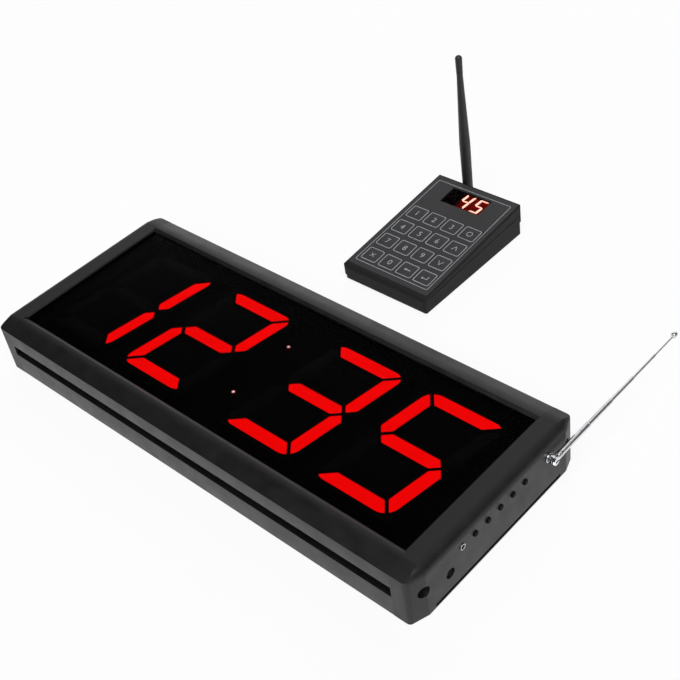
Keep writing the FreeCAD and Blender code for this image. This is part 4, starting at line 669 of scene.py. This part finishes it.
RUBBER = Coating(
    "rubber", dark=(0.012, 0.0115, 0.0115), light=(0.021, 0.02, 0.02), sheen=(0.42, 0.56), grain=0.5,
    depth=0.02)
CHROME = Metal("chrome", sheen=(0.04, 0.12))
DULL_METAL = Metal("dull_metal", bright=(0.4, 0.4, 0.41), dull=grey(0.2), sheen=(0.1, 0.2))
SCREW_STEEL = Metal("screw_steel", bright=(0.1, 0.1, 0.105), dull=grey(0.05), sheen=(0.3, 0.45))
DARK_METAL = Metal("dark_metal", bright=(0.12, 0.12, 0.125), dull=grey(0.07), sheen=(0.25, 0.4))
CIRCUIT_BOARD = Board("circuit_board")
FRONT_PANE = Pane("front_pane", tint=grey(0.0004), opacity=0.3, specular=0.02)
READOUT_PANE = Pane("readout_pane", tint=(0.0008, 0.0001, 0.0001), opacity=0.25, specular=0.02)
RED_BARS = Glow("red_bars", low=(0.8, 0.0, 0.0), high=(0.87, 0.0, 0.0), strength=2.0)
LAMP_BODY = Glow(
    "lamp_body", low=(0.0012, 0.0, 0.0), high=(0.0018, 0.0, 0.0), base=(0.0005, 0.0001, 0.0001))
LAMP_HALO = Glow("lamp_halo", low=(0.02, 0.0, 0.0), high=(0.035, 0.0, 0.0), spacing=2.0)
LAMP_CORE = Glow("lamp_core", low=(1.0, 0.36, 0.38), high=(1.0, 0.5, 0.52), strength=2.2)
ORANGE_BARS = Glow(
    "orange_bars", low=(0.75, 0.06, 0.02), high=(0.9, 0.09, 0.03), strength=1.6, spacing=2.0)
CREAM_CORE = Glow("cream_core", low=(1.0, 0.5, 0.38), high=(1.0, 0.64, 0.5), strength=2.4, spacing=2.0)
# Painted light: a red glow on the readout module's face behind the lit keypad digits, fading in from the
# left, stands for their light spilling there; that face is no lamp
PAINTED_RED_SPILL = Glow(
    "painted_red_spill", low=(0.12, 0.0, 0.0), high=(0.2, 0.003, 0.0), strength=1.1, spacing=6.0,
    base=(0.0005, 0.0, 0.0), dawn=(-23.0, -17.0))
LIGHT_INK = Ink("light_ink")


# Placing pieces


class Workshop:
    """Puts finished pieces on the frame and keeps count of them."""

    def __init__(self, frame: dict) -> None:
        self.nodes = frame["nodes"]
        self.count = 0

    def fit(self, name: str, shape: Union[Surface, bpy.types.Mesh], finish: Finish, body: str,
            slot: str, replaces: Sequence[str] = (), smooth: float = 35.0) -> None:
        """Makes an object of a shape and lets it ride on a body.

        Args:
            name: Name of the piece.
            shape: A computed surface, or a finished mesh.
            finish: Its finish.
            body: The body it moves with.
            slot: The record's material slot; not used.
            replaces: CAD nodes that it stands for.
            smooth: Edges sharper than this angle in degrees stay sharp.
        """
        if isinstance(shape, Surface):
            mesh = shape.mesh(name)
            mesh.shade_smooth()
            mesh.set_sharp_from_angle(angle=math.radians(smooth))
        else:
            mesh = shape
        piece = placed(name, mesh)
        mesh.materials.clear()
        mesh.materials.append(finish.material())
        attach(piece, body)
        if replaces:
            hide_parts(*replaces)
        self.count += 1
        LOG.info("fitted %s on %s, %d faces", name, body, len(mesh.polygons))

    def softened(self, node: str, edge: float) -> bpy.types.Mesh:
        """A welded copy of a CAD node's mesh with every crisp edge rounded.

        Args:
            node: The CAD node.
            edge: Width of the rounding in millimetres.

        Returns:
            The finished mesh.
        """
        work = bmesh.new()
        work.from_mesh(self.nodes[node].data)
        bmesh.ops.remove_doubles(work, verts=work.verts, dist=WELD_DISTANCE)
        bmesh.ops.dissolve_limit(work, angle_limit=FLAT_ANGLE, verts=work.verts, edges=work.edges)
        mesh = bpy.data.meshes.new(node)
        work.to_mesh(mesh)
        work.free()
        mesh.shade_smooth()
        holder = placed(node + "_work", mesh)
        bevel = holder.modifiers.new("edges", "BEVEL")
        bevel.width = edge * MM
        bevel.segments = 2
        bevel.limit_method = "ANGLE"
        bevel.angle_limit = CRISP_ANGLE
        weights = holder.modifiers.new("normals", "WEIGHTED_NORMAL")
        weights.weight = 80
        done = shaped(holder)
        bpy.data.meshes.remove(mesh)
        return done

    def dress(self, node: str, name: str, edge: float, finish: Finish, body: str,
              slot: str) -> None:
        """Fits a softened copy of a CAD node in the node's stead."""
        self.fit(name, self.softened(node, edge), finish, body, slot, [node])

    def keep(self, node: str, finish: Finish) -> None:
        """Keeps a CAD node's shape and gives it a better finish."""
        kept = self.nodes[node]
        for holder in kept.material_slots:
            holder.link = "OBJECT"
            holder.material = finish.material()
        LOG.info("kept %s in %s", node, finish.name)


# The display


@dataclass(frozen=True)
class FrameSizes:
    """The display's case, lying on its back: widths across, heights above the table."""

    half_rail: float = 236.0
    half_width: float = 103.9
    window_edge: float = 81.2
    window_height: float = 52.0
    window_thickness: float = 3.0
    glass_edge: float = 86.0
    groove_edge: float = 86.3
    crown_edge: float = 90.2
    crown_height: float = 54.4
    edge_height: float = 49.1
    lip_width: float = 3.3
    lip_depth: float = 0.4
    ledge_setback: float = 1.3
    ledge_thickness: float = 2.0
    slot_bottom: float = 22.7
    slot_top: float = 33.4
    slot_floor: float = 97.9
    channel: float = 95.9
    inner_wall: float = 101.6
    channel_floor: float = 20.7
    board_rib: float = 92.4
    board_rib_faces: tuple[float, ...] = (34.6, 36.4, 38.1, 39.9)
    foot_rib: float = 95.1
    foot_rib_faces: tuple[float, ...] = (1.5, 2.8, 4.3)
    pane_overlap: float = 1.5
    pane_edge: float = 0.15
    cut_edge: float = 0.02


@dataclass
class DisplayCase:
    """Two extruded rails, two moulded end caps, the window and the back."""

    shop: Workshop
    sizes: FrameSizes = field(default_factory=FrameSizes)

    def rail_outline(self) -> np.ndarray:
        """Section of the upper rail: foot, bracket slot, bevel, crown, window groove and ribs."""
        s = self.sizes
        glass_low = s.window_height - s.window_thickness
        ledge = s.window_edge + s.ledge_setback
        ledge_low = glass_low - s.ledge_thickness
        rib_1, rib_2, rib_3, rib_4 = s.board_rib_faces
        foot_1, foot_2, foot_3 = s.foot_rib_faces
        return rounded([
            (s.half_width, 0, 0.5), (s.half_width, s.slot_bottom, 0.4),
            (s.slot_floor, s.slot_bottom, 0.2), (s.slot_floor, s.slot_top, 0.2),
            (s.half_width, s.slot_top, 0.4), (s.half_width, s.edge_height, 0.7),
            (s.crown_edge, s.crown_height, 24.0),
            (s.window_edge + s.lip_width, s.crown_height, 0.8),
            (s.window_edge, s.window_height + s.lip_depth, 0.15),
            (s.window_edge, s.window_height, 0), (s.groove_edge, s.window_height, 0),
            (s.groove_edge, glass_low, 0), (ledge, glass_low, 0), (ledge, ledge_low, 0.3),
            (s.inner_wall, ledge_low, 0.3), (s.inner_wall, rib_4, 0.2), (s.board_rib, rib_4, 0.3),
            (s.board_rib, rib_3, 0.3), (s.inner_wall, rib_3, 0), (s.inner_wall, rib_2, 0),
            (s.board_rib, rib_2, 0.3), (s.board_rib, rib_1, 0.3), (s.channel, rib_1, 0.2),
            (s.channel, s.channel_floor, 0.3), (s.inner_wall, s.channel_floor, 0.3),
            (s.inner_wall, foot_3, 0.2), (s.foot_rib, foot_3, 0.3), (s.foot_rib, foot_2, 0.3),
            (s.inner_wall, foot_2, 0), (s.inner_wall, foot_1, 0), (s.foot_rib, foot_1, 0.2),
            (s.foot_rib, 0, 0.3)], 10)

    def build_rails(self) -> None:
        """Extrudes the section both ways from the middle."""
        s = self.sizes
        rail = slab(self.rail_outline(), -s.half_rail, s.half_rail, s.cut_edge, ALONG_X, 2)
        for side, shape in (("top", rail), ("bottom", rail.mirrored(1))):
            self.shop.fit("Rail_" + side, shape, POWDER_COAT, "display", "dark_aluminium",
                          [side + "_rail"], 25)

    def build_caps(self) -> None:
        """End caps with softly rounded mould edges."""
        for side in ("left", "right"):
            self.shop.dress(side + "_end_cap", "Cap_" + side, 0.45, CAP_PLASTIC, "display",
                            "cap_plastic")
        self.shop.keep("end_cap_screws", SCREW_STEEL)

    def build_panels(self) -> None:
        """Tinted sheet with polished edges, pressed back sheet, and the board behind the digits."""
        s = self.sizes
        sheet = box_outline(2 * (s.half_rail + s.pane_overlap), 2 * s.glass_edge, 0.0)
        pane = slab(sheet, s.window_height - s.window_thickness, s.window_height, s.pane_edge)
        self.shop.fit("Front_window", pane, FRONT_PANE, "display", "display_window", ["front_window"])
        self.shop.dress("back_panel", "Back_sheet", 0.3, BLACK_SHEET, "display", "back_sheet")
        self.shop.keep("digit_board", REFLECTOR_BLACK)

    def build(self) -> None:
        """Makes the whole case."""
        self.build_rails()
        self.build_caps()
        self.build_panels()


@dataclass(frozen=True)
class DigitSizes:
    """Four large slanted digits and the colon; a lamp's core is given by depth and radius."""

    height: float = 127.0
    width: float = 78.54
    stroke: float = 12.8
    gap: float = 3.0
    corner: float = 12.0
    play: float = 0.15
    slant: float = 0.154
    bar_low: float = 44.3
    bar_high: float = 48.3
    bar_edge: float = 0.35
    centres: tuple[float, ...] = (-172.96, -67.94, 65.87, 170.89)
    digits: str = "1235"
    lamp_x: float = 1.26
    lamp_y: float = 34.6
    lamp_radius: float = 2.5
    lamp_foot: float = 38.0
    lamp_rim: Triple = (0.9, 1.0, 2.9)
    lamp_top: float = 48.7
    dome_angle: float = 78.0
    halo_lift: float = 0.03
    core: tuple[Pair, ...] = ((0.6, 1.2), (0.33, 1.35), (0.1, 0.95), (0.02, 0.5))


@dataclass
class DigitRow:
    """Diffuser bars, lit and unlit, and the two colon lamps."""

    shop: Workshop
    sizes: DigitSizes = field(default_factory=DigitSizes)

    def bars(self, lit: bool) -> Surface:
        """Softly edged bars of the lit or the unlit segments."""
        s = self.sizes
        shapes = segment_outlines(s.width, s.height, s.stroke, s.gap, s.corner)
        return Surface.joined([
            slab(grown(leaning(outline, s.slant, (x, 0)), -s.play), s.bar_low, s.bar_high, s.bar_edge)
            for digit, x in zip(s.digits, s.centres) for letter, outline in shapes.items()
            if (letter in LIT[digit]) == lit])

    def build(self) -> None:
        """Makes the bars and the lamps."""
        s = self.sizes
        for kind, finish, slot in (("lit", RED_BARS, "red_diffuser"),
                                   ("unlit", DARK_BAR, "dark_diffuser")):
            self.shop.fit("Bars_" + kind, self.bars(kind == "lit"), finish, "display", slot,
                          [kind + "_segments"])
        angle = np.linspace(0, math.radians(s.dome_angle), 8)
        straight = s.lamp_top - s.lamp_radius
        dome = np.stack([straight + s.lamp_radius * np.sin(angle), s.lamp_radius * np.cos(angle)], 1)
        rise, shoulder, rim = s.lamp_rim
        foot = [(s.lamp_foot, rim), (s.lamp_foot + rise, rim),
                (s.lamp_foot + shoulder, s.lamp_radius)]
        stations = np.vstack([foot, dome])
        core = [(s.lamp_top - down, radius) for down, radius in s.core]
        halo = dome[1:6] + (0.0, s.halo_lift)
        seats = [UP.moved(s.lamp_x, side * s.lamp_y) for side in (-1, 1)]
        self.shop.fit("Colon_lamps", Surface.joined([lathe(stations, seat) for seat in seats]),
                      LAMP_BODY, "display", "red_diffuser", ["colon_lights"])
        for name, profile, finish in (("Colon_halos", halo, LAMP_HALO), ("Colon_cores", core, LAMP_CORE)):
            self.shop.fit(name, Surface.joined([lathe(profile, seat, 24) for seat in seats]), finish,
                          "display", "red_diffuser")
        self.shop.keep("digit_reflectors", REFLECTOR_BLACK)


@dataclass(frozen=True)
class PortSizes:
    """Buttons and sockets in the right end face; a button's end is given by depth and radius."""

    face: float = 257.5
    height: float = 38.0
    first: float = -45.2
    pitch: float = 15.7
    stem_start: float = 251.8
    stem_radius: float = 1.8
    flange: Pair = (253.9, 254.9)
    flange_radius: float = 3.8
    button_radius: float = 2.6
    dished_end: tuple[Pair, ...] = (
        (0.45, 2.6), (0.2, 2.5), (0.08, 2.2), (0.02, 1.6), (0.1, 1.2), (0.13, 0.4))
    stand: float = 1.4


@dataclass
class PortRow:
    """Five set buttons, the audio and power sockets and the board behind them."""

    shop: Workshop
    sizes: PortSizes = field(default_factory=PortSizes)

    def seat(self, step: float) -> Seat:
        """Axis of a step in the row."""
        s = self.sizes
        return Seat((0, s.first + step * s.pitch, s.height), (0, 1, 0), (0, 0, 1), (1, 0, 0))

    def build(self) -> None:
        """Makes the buttons and finishes the sockets."""
        s = self.sizes
        end = s.face + s.stand
        low, high = s.flange
        stations = [(s.stem_start, s.stem_radius), (low, s.stem_radius), (low, s.flange_radius),
                    (high, s.flange_radius), (high, s.button_radius)]
        stations += [(end - down, radius) for down, radius in s.dished_end]
        for step in range(1, 6):
            node = "set_button_%d" % step
            self.shop.fit("Button_%d" % step, lathe(stations, self.seat(step)), BUTTON_BLACK, node,
                          "black_plastic", [node], 50)
        for name, finish, slot in (("Audio_socket", DULL_METAL, "bright_metal"),
                                   ("Power_socket", BLACK_PLASTIC, "black_plastic")):
            self.shop.dress(name.lower(), name, 0.15, finish, "display", slot)
        self.shop.keep("control_board", CIRCUIT_BOARD)
        self.shop.keep("tact_switches", BLACK_PLASTIC)


@dataclass(frozen=True)
class AerialSizes:
    """The aerial, folded straight back beside the case.

    Its mouths and ball are given by distance from an end and inset from the radius.
    """

    pivot: Triple = (262.4, 64.7, 38.0)
    base_start: float = 9.5
    base_length: float = 38.5
    visible: float = 33.0
    overlap: float = 3.0
    diameter: float = 5.0
    step: float = 0.8
    wall: float = 0.25
    clearance: float = 0.05
    collar_length: float = 1.5
    chamfer: float = 0.05
    mouth_length: float = 1.2
    mouth: tuple[Pair, ...] = (
        (1.3, 0), (1.2, 0.09), (1.0, 0.09), (0.9, 0), (0.35, 0), (0.12, 0.07), (0, 0.2))
    ball: float = 5.4
    ball_length: float = 4.6
    ball_foot: tuple[Pair, ...] = ((0, 0.7), (0.2, 0.3), (0.7, 0))
    ball_crown: tuple[Pair, ...] = ((0.9, 0), (0.4, 0.25), (0.1, 0.8), (0, 1.6))
    tubes: int = 4


@dataclass
class Aerial:
    """Bush, swivel, pivot, elbow and nested chromed tubes."""

    shop: Workshop
    sizes: AerialSizes = field(default_factory=AerialSizes)

    def seat(self) -> Seat:
        """Axis of the tubes, away from the pivot."""
        return Seat(self.sizes.pivot, (0, 0, 1), (1, 0, 0), (0, 1, 0))

    def tube(self, number: int, start: float, length: float) -> Surface:
        """A thin tube: closed foot with a collar, and a mouth rolled in on the next tube."""
        s = self.sizes
        outer = (s.diameter - number * s.step) / 2
        inner = (s.diameter - (number + 1) * s.step) / 2 + s.clearance
        bore = outer - s.wall
        collar = outer + s.step / 2 - s.wall - s.clearance if number else outer
        end = start + length
        return lathe([
            (start, collar - s.chamfer), (start + s.chamfer, collar), (start + s.collar_length, collar),
            (start + s.collar_length, outer), *((end - back, outer - inset) for back, inset in s.mouth),
            (end, inner + 0.03), (end - s.chamfer, inner), (end - s.mouth_length, inner),
            (end - s.mouth_length, bore), (start + s.collar_length / 2, bore)], self.seat())

    def build(self) -> None:
        """Makes the aerial from the case outwards."""
        s = self.sizes
        for node, name, body in (("antenna_bush", "Aerial_bush", "display"),
                                 ("antenna_swivel", "Aerial_swivel", "antenna_post"),
                                 ("antenna_pivot_pin", "Aerial_pin", "antenna_post"),
                                 ("antenna_elbow", "Aerial_elbow", "antenna_arm")):
            self.shop.dress(node, name, 0.18, CHROME, body, "bright_metal")
        mouth = s.base_start + s.base_length
        self.shop.fit("Aerial_tube_1", self.tube(0, s.base_start, s.base_length), CHROME,
                      "antenna_arm", "bright_metal", ["antenna_base_tube"])
        for number in range(1, s.tubes):
            tube = self.tube(number, mouth - s.overlap, s.visible + s.overlap)
            self.shop.fit("Aerial_tube_%d" % (number + 1), tube, CHROME,
                          "antenna_section_%d" % (number + 1), "bright_metal",
                          ["antenna_tube_%d" % (number + 1)])
            mouth += s.visible
        rod = (s.diameter - s.tubes * s.step) / 2
        ball = s.ball / 2
        high = mouth + s.visible
        low = high - s.ball_length
        foot = mouth - s.overlap
        collar = rod + s.step / 2 - s.wall - s.clearance
        tip = lathe([(foot, collar), (foot + s.collar_length, collar), (foot + s.collar_length, rod),
                     (low, rod), *((low + up, ball - inset) for up, inset in s.ball_foot),
                     *((high - down, ball - inset) for down, inset in s.ball_crown)], self.seat())
        self.shop.fit("Aerial_tip", tip, CHROME, "antenna_section_5", "bright_metal", ["antenna_tip"],
                      40)


# The keypad transmitter


@dataclass(frozen=True)
class KeypadSizes:
    """The keypad's sloping panel: across it, up the slope from its front edge, and above it."""

    centre: float = -14.0
    front: float = 176.0
    depth: float = 155.5
    front_height: float = 20.0
    back_height: float = 36.0
    pitch_across: float = 22.302
    pitch_along: float = 23.604
    first_row: float = 24.90
    key_width: float = 19.802
    key_length: float = 18.204
    key_radius: float = 2.6
    key_low: float = -3.2
    key_flange: float = 0.9
    flange_levels: Pair = (-4.0, -3.1)
    key_edge: float = 0.25
    flange_edge: float = 0.1
    key_stem: tuple[Pair, ...] = ((-4.85, 2.0), (-4.0, 2.0))
    print_depth: float = 0.03
    line_width: float = 0.75
    arrow_width: float = 1.1
    print_edge: float = 0.005
    border: Triple = (91.3, 136.0, 2.0)
    border_place: Pair = (-0.15, 80.3)
    border_width: float = 0.6
    legend_height: float = 6.4
    readout: Pair = (48.405, 22.995)
    readout_place: Pair = (-0.5, 133.97)
    digit: Pair = (10.4, 20.1)
    digit_pitch: float = 16.9
    digit_shift: Pair = (-0.8, 0.3)
    digit_slant: float = 0.14
    stroke_gap_radius: Triple = (2.0, 0.16, 1.6)
    bar_levels: Pair = (-1.7, -1.42)
    core_levels: Pair = (-1.5, -1.2)
    core_inset: float = 0.24
    dark_levels: Pair = (-1.75, -1.66)
    # The painted glow of light spilt behind the lit digits: its levels, trim, corner radius and shift
    painted_spill_levels: Pair = (-1.75, -1.68)
    painted_spill_trim: Pair = (0.4, 2.2)
    painted_spill_radius: float = 0.4
    painted_spill_shift: float = -0.4
    bar_edge: float = 0.02
    filter_levels: Pair = (-1.0, 0.0)
    filter_edge: float = 0.08


class Symbol(Enum):
    """What is printed on the keys that carry no number."""

    CIRCLE = "set"
    RISE = "up"
    FALL = "down"
    CROSS = "cancel"
    BACK = "back"
    RETURN = "enter"


RING_RADIUS = 2.9
STROKES: dict[Symbol, Sequence[Rows]] = {
    Symbol.RISE: [((-2.8, -2.4), (0, 2.6), (2.8, -2.4))],
    Symbol.FALL: [((-2.8, 2.4), (0, -2.6), (2.8, 2.4))],
    Symbol.CROSS: [((-2.4, -2.4), (2.4, 2.4)), ((-2.4, 2.4), (2.4, -2.4))],
    Symbol.BACK: [((-1.3, 0), (3.8, 0))],
    Symbol.RETURN: [((-1.8, -1.4), (3.0, -1.4), (3.0, 2.6))]}
ARROW_HEADS: dict[Symbol, Rows] = {
    Symbol.BACK: ((-4.2, 0), (-1.2, -1.5), (-1.2, 1.5)),
    Symbol.RETURN: ((-4.0, -1.4), (-1.6, -2.9), (-1.6, 0.1))}


@dataclass
class Keypad:
    """Wedge-shaped case, printed panel, sixteen keys and the readout."""

    shop: Workshop
    sizes: KeypadSizes = field(default_factory=KeypadSizes)
    rows: ClassVar[tuple[tuple[str, ...], ...]] = (
        ("1", "2", "3", "set"), ("4", "5", "6", "up"), ("7", "8", "9", "down"),
        ("cancel", "0", "back", "enter"))

    def panel(self) -> Seat:
        """The panel's middle at its front edge, with the way up the slope and out of it."""
        s = self.sizes
        slope = math.atan2(s.back_height - s.front_height, s.depth)
        up = (0.0, math.cos(slope), math.sin(slope))
        return Seat((s.centre, s.front, s.front_height), (1, 0, 0), up, (0.0, -up[2], up[1]))

    def build_case(self) -> None:
        """Both shells, the feet and what is inside them."""
        for node, name, edge, finish, slot in (
                ("keypad_top_shell", "Keypad_upper", 0.35, KEYPAD_PLASTIC, "keypad_plastic"),
                ("keypad_bottom_shell", "Keypad_lower", 0.3, KEYPAD_PLASTIC, "keypad_plastic"),
                ("keypad_faceplate", "Panel_film", 0.12, PRINTED_FILM, "keypad_plastic"),
                ("keypad_feet", "Feet", 0.25, RUBBER, "soft_rubber")):
            self.shop.dress(node, name, edge, finish, "keypad", slot)
        for node, finish in (("keypad_board", CIRCUIT_BOARD), ("key_switches", BLACK_PLASTIC),
                             ("keypad_screws", SCREW_STEEL), ("keypad_power_socket", BLACK_PLASTIC)):
            self.shop.keep(node, finish)

    def symbol(self, kind: Symbol, seat: Seat) -> Surface:
        """Line symbol of a key that carries no number."""
        top, width = self.sizes.print_depth, self.sizes.line_width
        if kind is Symbol.CIRCLE:
            angle = np.linspace(0, 2 * math.pi, 40, endpoint=False)
            circle = np.stack([RING_RADIUS * np.cos(angle), RING_RADIUS * np.sin(angle)], 1)
            return ribbon(circle, width, 0.0, top, seat, True)
        if kind is Symbol.BACK:
            width = self.sizes.arrow_width
        parts = [ribbon(np.array(points, float), width, 0.0, top, seat, False)
                 for points in STROKES[kind]]
        if kind in ARROW_HEADS:
            parts.append(slab(np.array(ARROW_HEADS[kind]), 0, top, self.sizes.print_edge, seat, 2))
        return Surface.joined(parts)

    def build_keys(self) -> None:
        """Keys with a flat top and softly rounded edges, their printed outline and their legend."""
        s = self.sizes
        outline = box_outline(s.key_width, s.key_length, s.key_radius)
        flange = box_outline(s.key_width + 2 * s.key_flange, s.key_length + 2 * s.key_flange,
                             s.key_radius + s.key_flange)
        for row, names in enumerate(self.rows):
            for column, name in enumerate(names):
                seat = self.panel().moved((column - 1.5) * s.pitch_across,
                                          s.first_row + (3 - row) * s.pitch_along)
                body = "key_" + name
                key = Surface.joined([slab(outline, s.key_low, 0, s.key_edge, seat),
                                      slab(flange, *s.flange_levels, s.flange_edge, seat, 2),
                                      lathe(s.key_stem, seat, 24)])
                self.shop.fit("Key_" + name, key, KEY_PLASTIC, body, "keypad_plastic", [body])
                frame = ribbon(grown(outline, -s.line_width), s.line_width, 0.0, s.print_depth, seat,
                               True)
                if name.isdigit():
                    legend = glyph(name, s.legend_height, s.print_depth, seat)
                else:
                    legend = self.symbol(Symbol(name), seat)
                self.shop.fit("Print_" + name, Surface.joined([frame, legend]), LIGHT_INK, body,
                              "keypad_plastic")

    def build_readout(self) -> None:
        """Filter window, lit digits with hot cores, the dark digit, a painted glow of their spilt light
        behind them and the hairline border.
        """
        s = self.sizes
        seat = self.panel().moved(*s.readout_place)
        width, length = s.readout
        pane = slab(box_outline(width, length, 0.0), *s.filter_levels, s.filter_edge, seat, 3)
        self.shop.fit("Readout_window", pane, READOUT_PANE, "keypad", "red_filter", ["led_window"])
        shapes = segment_outlines(*s.digit, *s.stroke_gap_radius)

        def bars(digits: dict[int, str], inset: float, levels: Pair) -> Surface:
            across, along = s.digit_shift
            return Surface.joined([
                slab(grown(leaning(shapes[letter], s.digit_slant,
                                   (across + place * s.digit_pitch, along)), -inset),
                     *levels, s.bar_edge, seat, 2)
                for place, letters in digits.items() for letter in letters])

        lit = {0: LIT["4"], 1: LIT["5"]}
        # Painted light: a glowing patch behind the two lit digits, fading in from the left, stands for
        # their light spilt onto the module's face
        painted_spill = box_outline(2 * s.digit_pitch - s.painted_spill_trim[0], length - s.painted_spill_trim[1], s.painted_spill_radius,
                           (s.digit_pitch / 2 + s.painted_spill_shift, 0))
        for name, shape, finish, slot, nodes in (
                ("digits", bars(lit, 0.0, s.bar_levels), ORANGE_BARS, "red_diffuser", ["led_segments"]),
                ("cores", bars(lit, s.core_inset, s.core_levels), CREAM_CORE, "red_diffuser", []),
                ("dark_digit", bars({-1: "abcdefg"}, 0.0, s.dark_levels), DARK_BAR, "dark_diffuser", []),
                ("painted_spill", slab(painted_spill, *s.painted_spill_levels, s.bar_edge, seat, 2), PAINTED_RED_SPILL, "red_diffuser", [])):
            self.shop.fit("Readout_" + name, shape, finish, "keypad", slot, nodes)
        self.shop.keep("led_module", REFLECTOR_BLACK)
        frame = box_outline(*s.border, s.border_place)
        line = ribbon(frame, s.border_width, 0.0, s.print_depth, self.panel(), True)
        self.shop.fit("Panel_border", line, LIGHT_INK, "keypad", "keypad_plastic")

    def build(self) -> None:
        """Makes the keypad."""
        self.build_case()
        self.build_keys()
        self.build_readout()


@dataclass
class Whip:
    """Connector, knuckle and tapered rubber whip."""

    shop: Workshop

    def build(self) -> None:
        """Makes the whip from the keypad outwards."""
        for node, name, finish, body, slot in (
                ("whip_connector", "Whip_connector", DARK_METAL, "keypad", "dark_metal"),
                ("whip_knuckle", "Whip_knuckle", BLACK_PLASTIC, "whip_knuckle", "black_plastic"),
                ("rubber_whip", "Whip_rubber", RUBBER, "whip", "soft_rubber")):
            self.shop.dress(node, name, 0.2, finish, body, slot)


# The studio


@dataclass(frozen=True)
class Studio:
    """Pale table, plain soft light and the camera."""

    tent_across: tuple[float, float, float, float] = (-0.35, 0.35, 1.0, 0.12)
    tent_along: tuple[float, float, float, float] = (0.2, 0.55, 0.05, 1.0)
    floor_reach: float = 9000.0
    floor_levels: Pair = (-2.0, -0.1)
    sun: float = 3.0
    sun_place: Triple = (0.0, 0.0, 3.0)
    sun_turn: Triple = (22.3, 25.6, 0.0)
    sun_spread: float = 60.0
    camera_place: Triple = (0.647598, -0.472257, 0.754054)
    camera_turn: Triple = (48.88619, 7.70749, 42.54535)
    lens: float = 64.5046
    shift: Pair = (0.013344, -0.002222)

    def build_floor(self) -> None:
        """A wide flat table top just under the set."""
        reach = self.floor_reach
        ring = np.array([(-reach, -reach), (reach, -reach), (reach, reach), (-reach, reach)])
        mesh = stacked(np.stack([ring, ring]), np.array(self.floor_levels), UP).mesh("Table")
        mesh.materials.append(Paper("table_paper").material())
        placed("Table", mesh)

    def build_light(self) -> None:
        """A tent, bright behind the set and dim in front and to the right of it, and a soft sun."""
        world = bpy.data.worlds.new("Studio_tent")
        world.use_nodes = True
        tree = world.node_tree
        place = tree.nodes.new("ShaderNodeTexCoord")
        split = tree.nodes.new("ShaderNodeSeparateXYZ")
        level = tree.nodes.new("ShaderNodeMath")
        level.operation = "MULTIPLY"
        tent = tree.nodes["Background"]
        tent.inputs["Color"].default_value = (1.0, 1.0, 1.0, 1.0)
        tree.links.new(place.outputs["Generated"], split.inputs["Vector"])
        for number, (axis, values) in enumerate((("X", self.tent_across), ("Y", self.tent_along))):
            span = tree.nodes.new("ShaderNodeMapRange")
            for key, value in zip((1, 2, 3, 4), values):
                span.inputs[key].default_value = value
            tree.links.new(split.outputs[axis], span.inputs["Value"])
            tree.links.new(span.outputs["Result"], level.inputs[number])
        tree.links.new(level.outputs["Value"], tent.inputs["Strength"])
        bpy.context.scene.world = world
        light = bpy.data.lights.new("Soft_sun", "SUN")
        light.energy = self.sun
        light.angle = math.radians(self.sun_spread)
        turned(placed("Soft_sun", light), self.sun_place, self.sun_turn)

    def build_camera(self) -> None:
        """The camera of the photograph."""
        data = bpy.data.cameras.new("Camera")
        data.lens = self.lens
        data.sensor_width = 36.0
        data.shift_x, data.shift_y = self.shift
        data.clip_start = 0.01
        camera = turned(placed("Camera", data), self.camera_place, self.camera_turn)
        bpy.context.scene.camera = camera

    def build(self) -> None:
        """Sets the stage."""
        bpy.context.scene.view_settings.view_transform = "Standard"
        self.build_floor()
        self.build_light()
        self.build_camera()


def main() -> None:
    """Builds every sub-assembly in order, then the studio."""
    logging.basicConfig(level=logging.INFO, format="%(name)s: %(message)s")
    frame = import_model()
    shop = Workshop(frame)
    for part in (DisplayCase(shop), DigitRow(shop), PortRow(shop), Aerial(shop), Keypad(shop),
                 Whip(shop)):
        part.build()
    Studio().build()
    LOG.info("%d pieces fitted", shop.count)


if __name__ == "__main__":
    main()
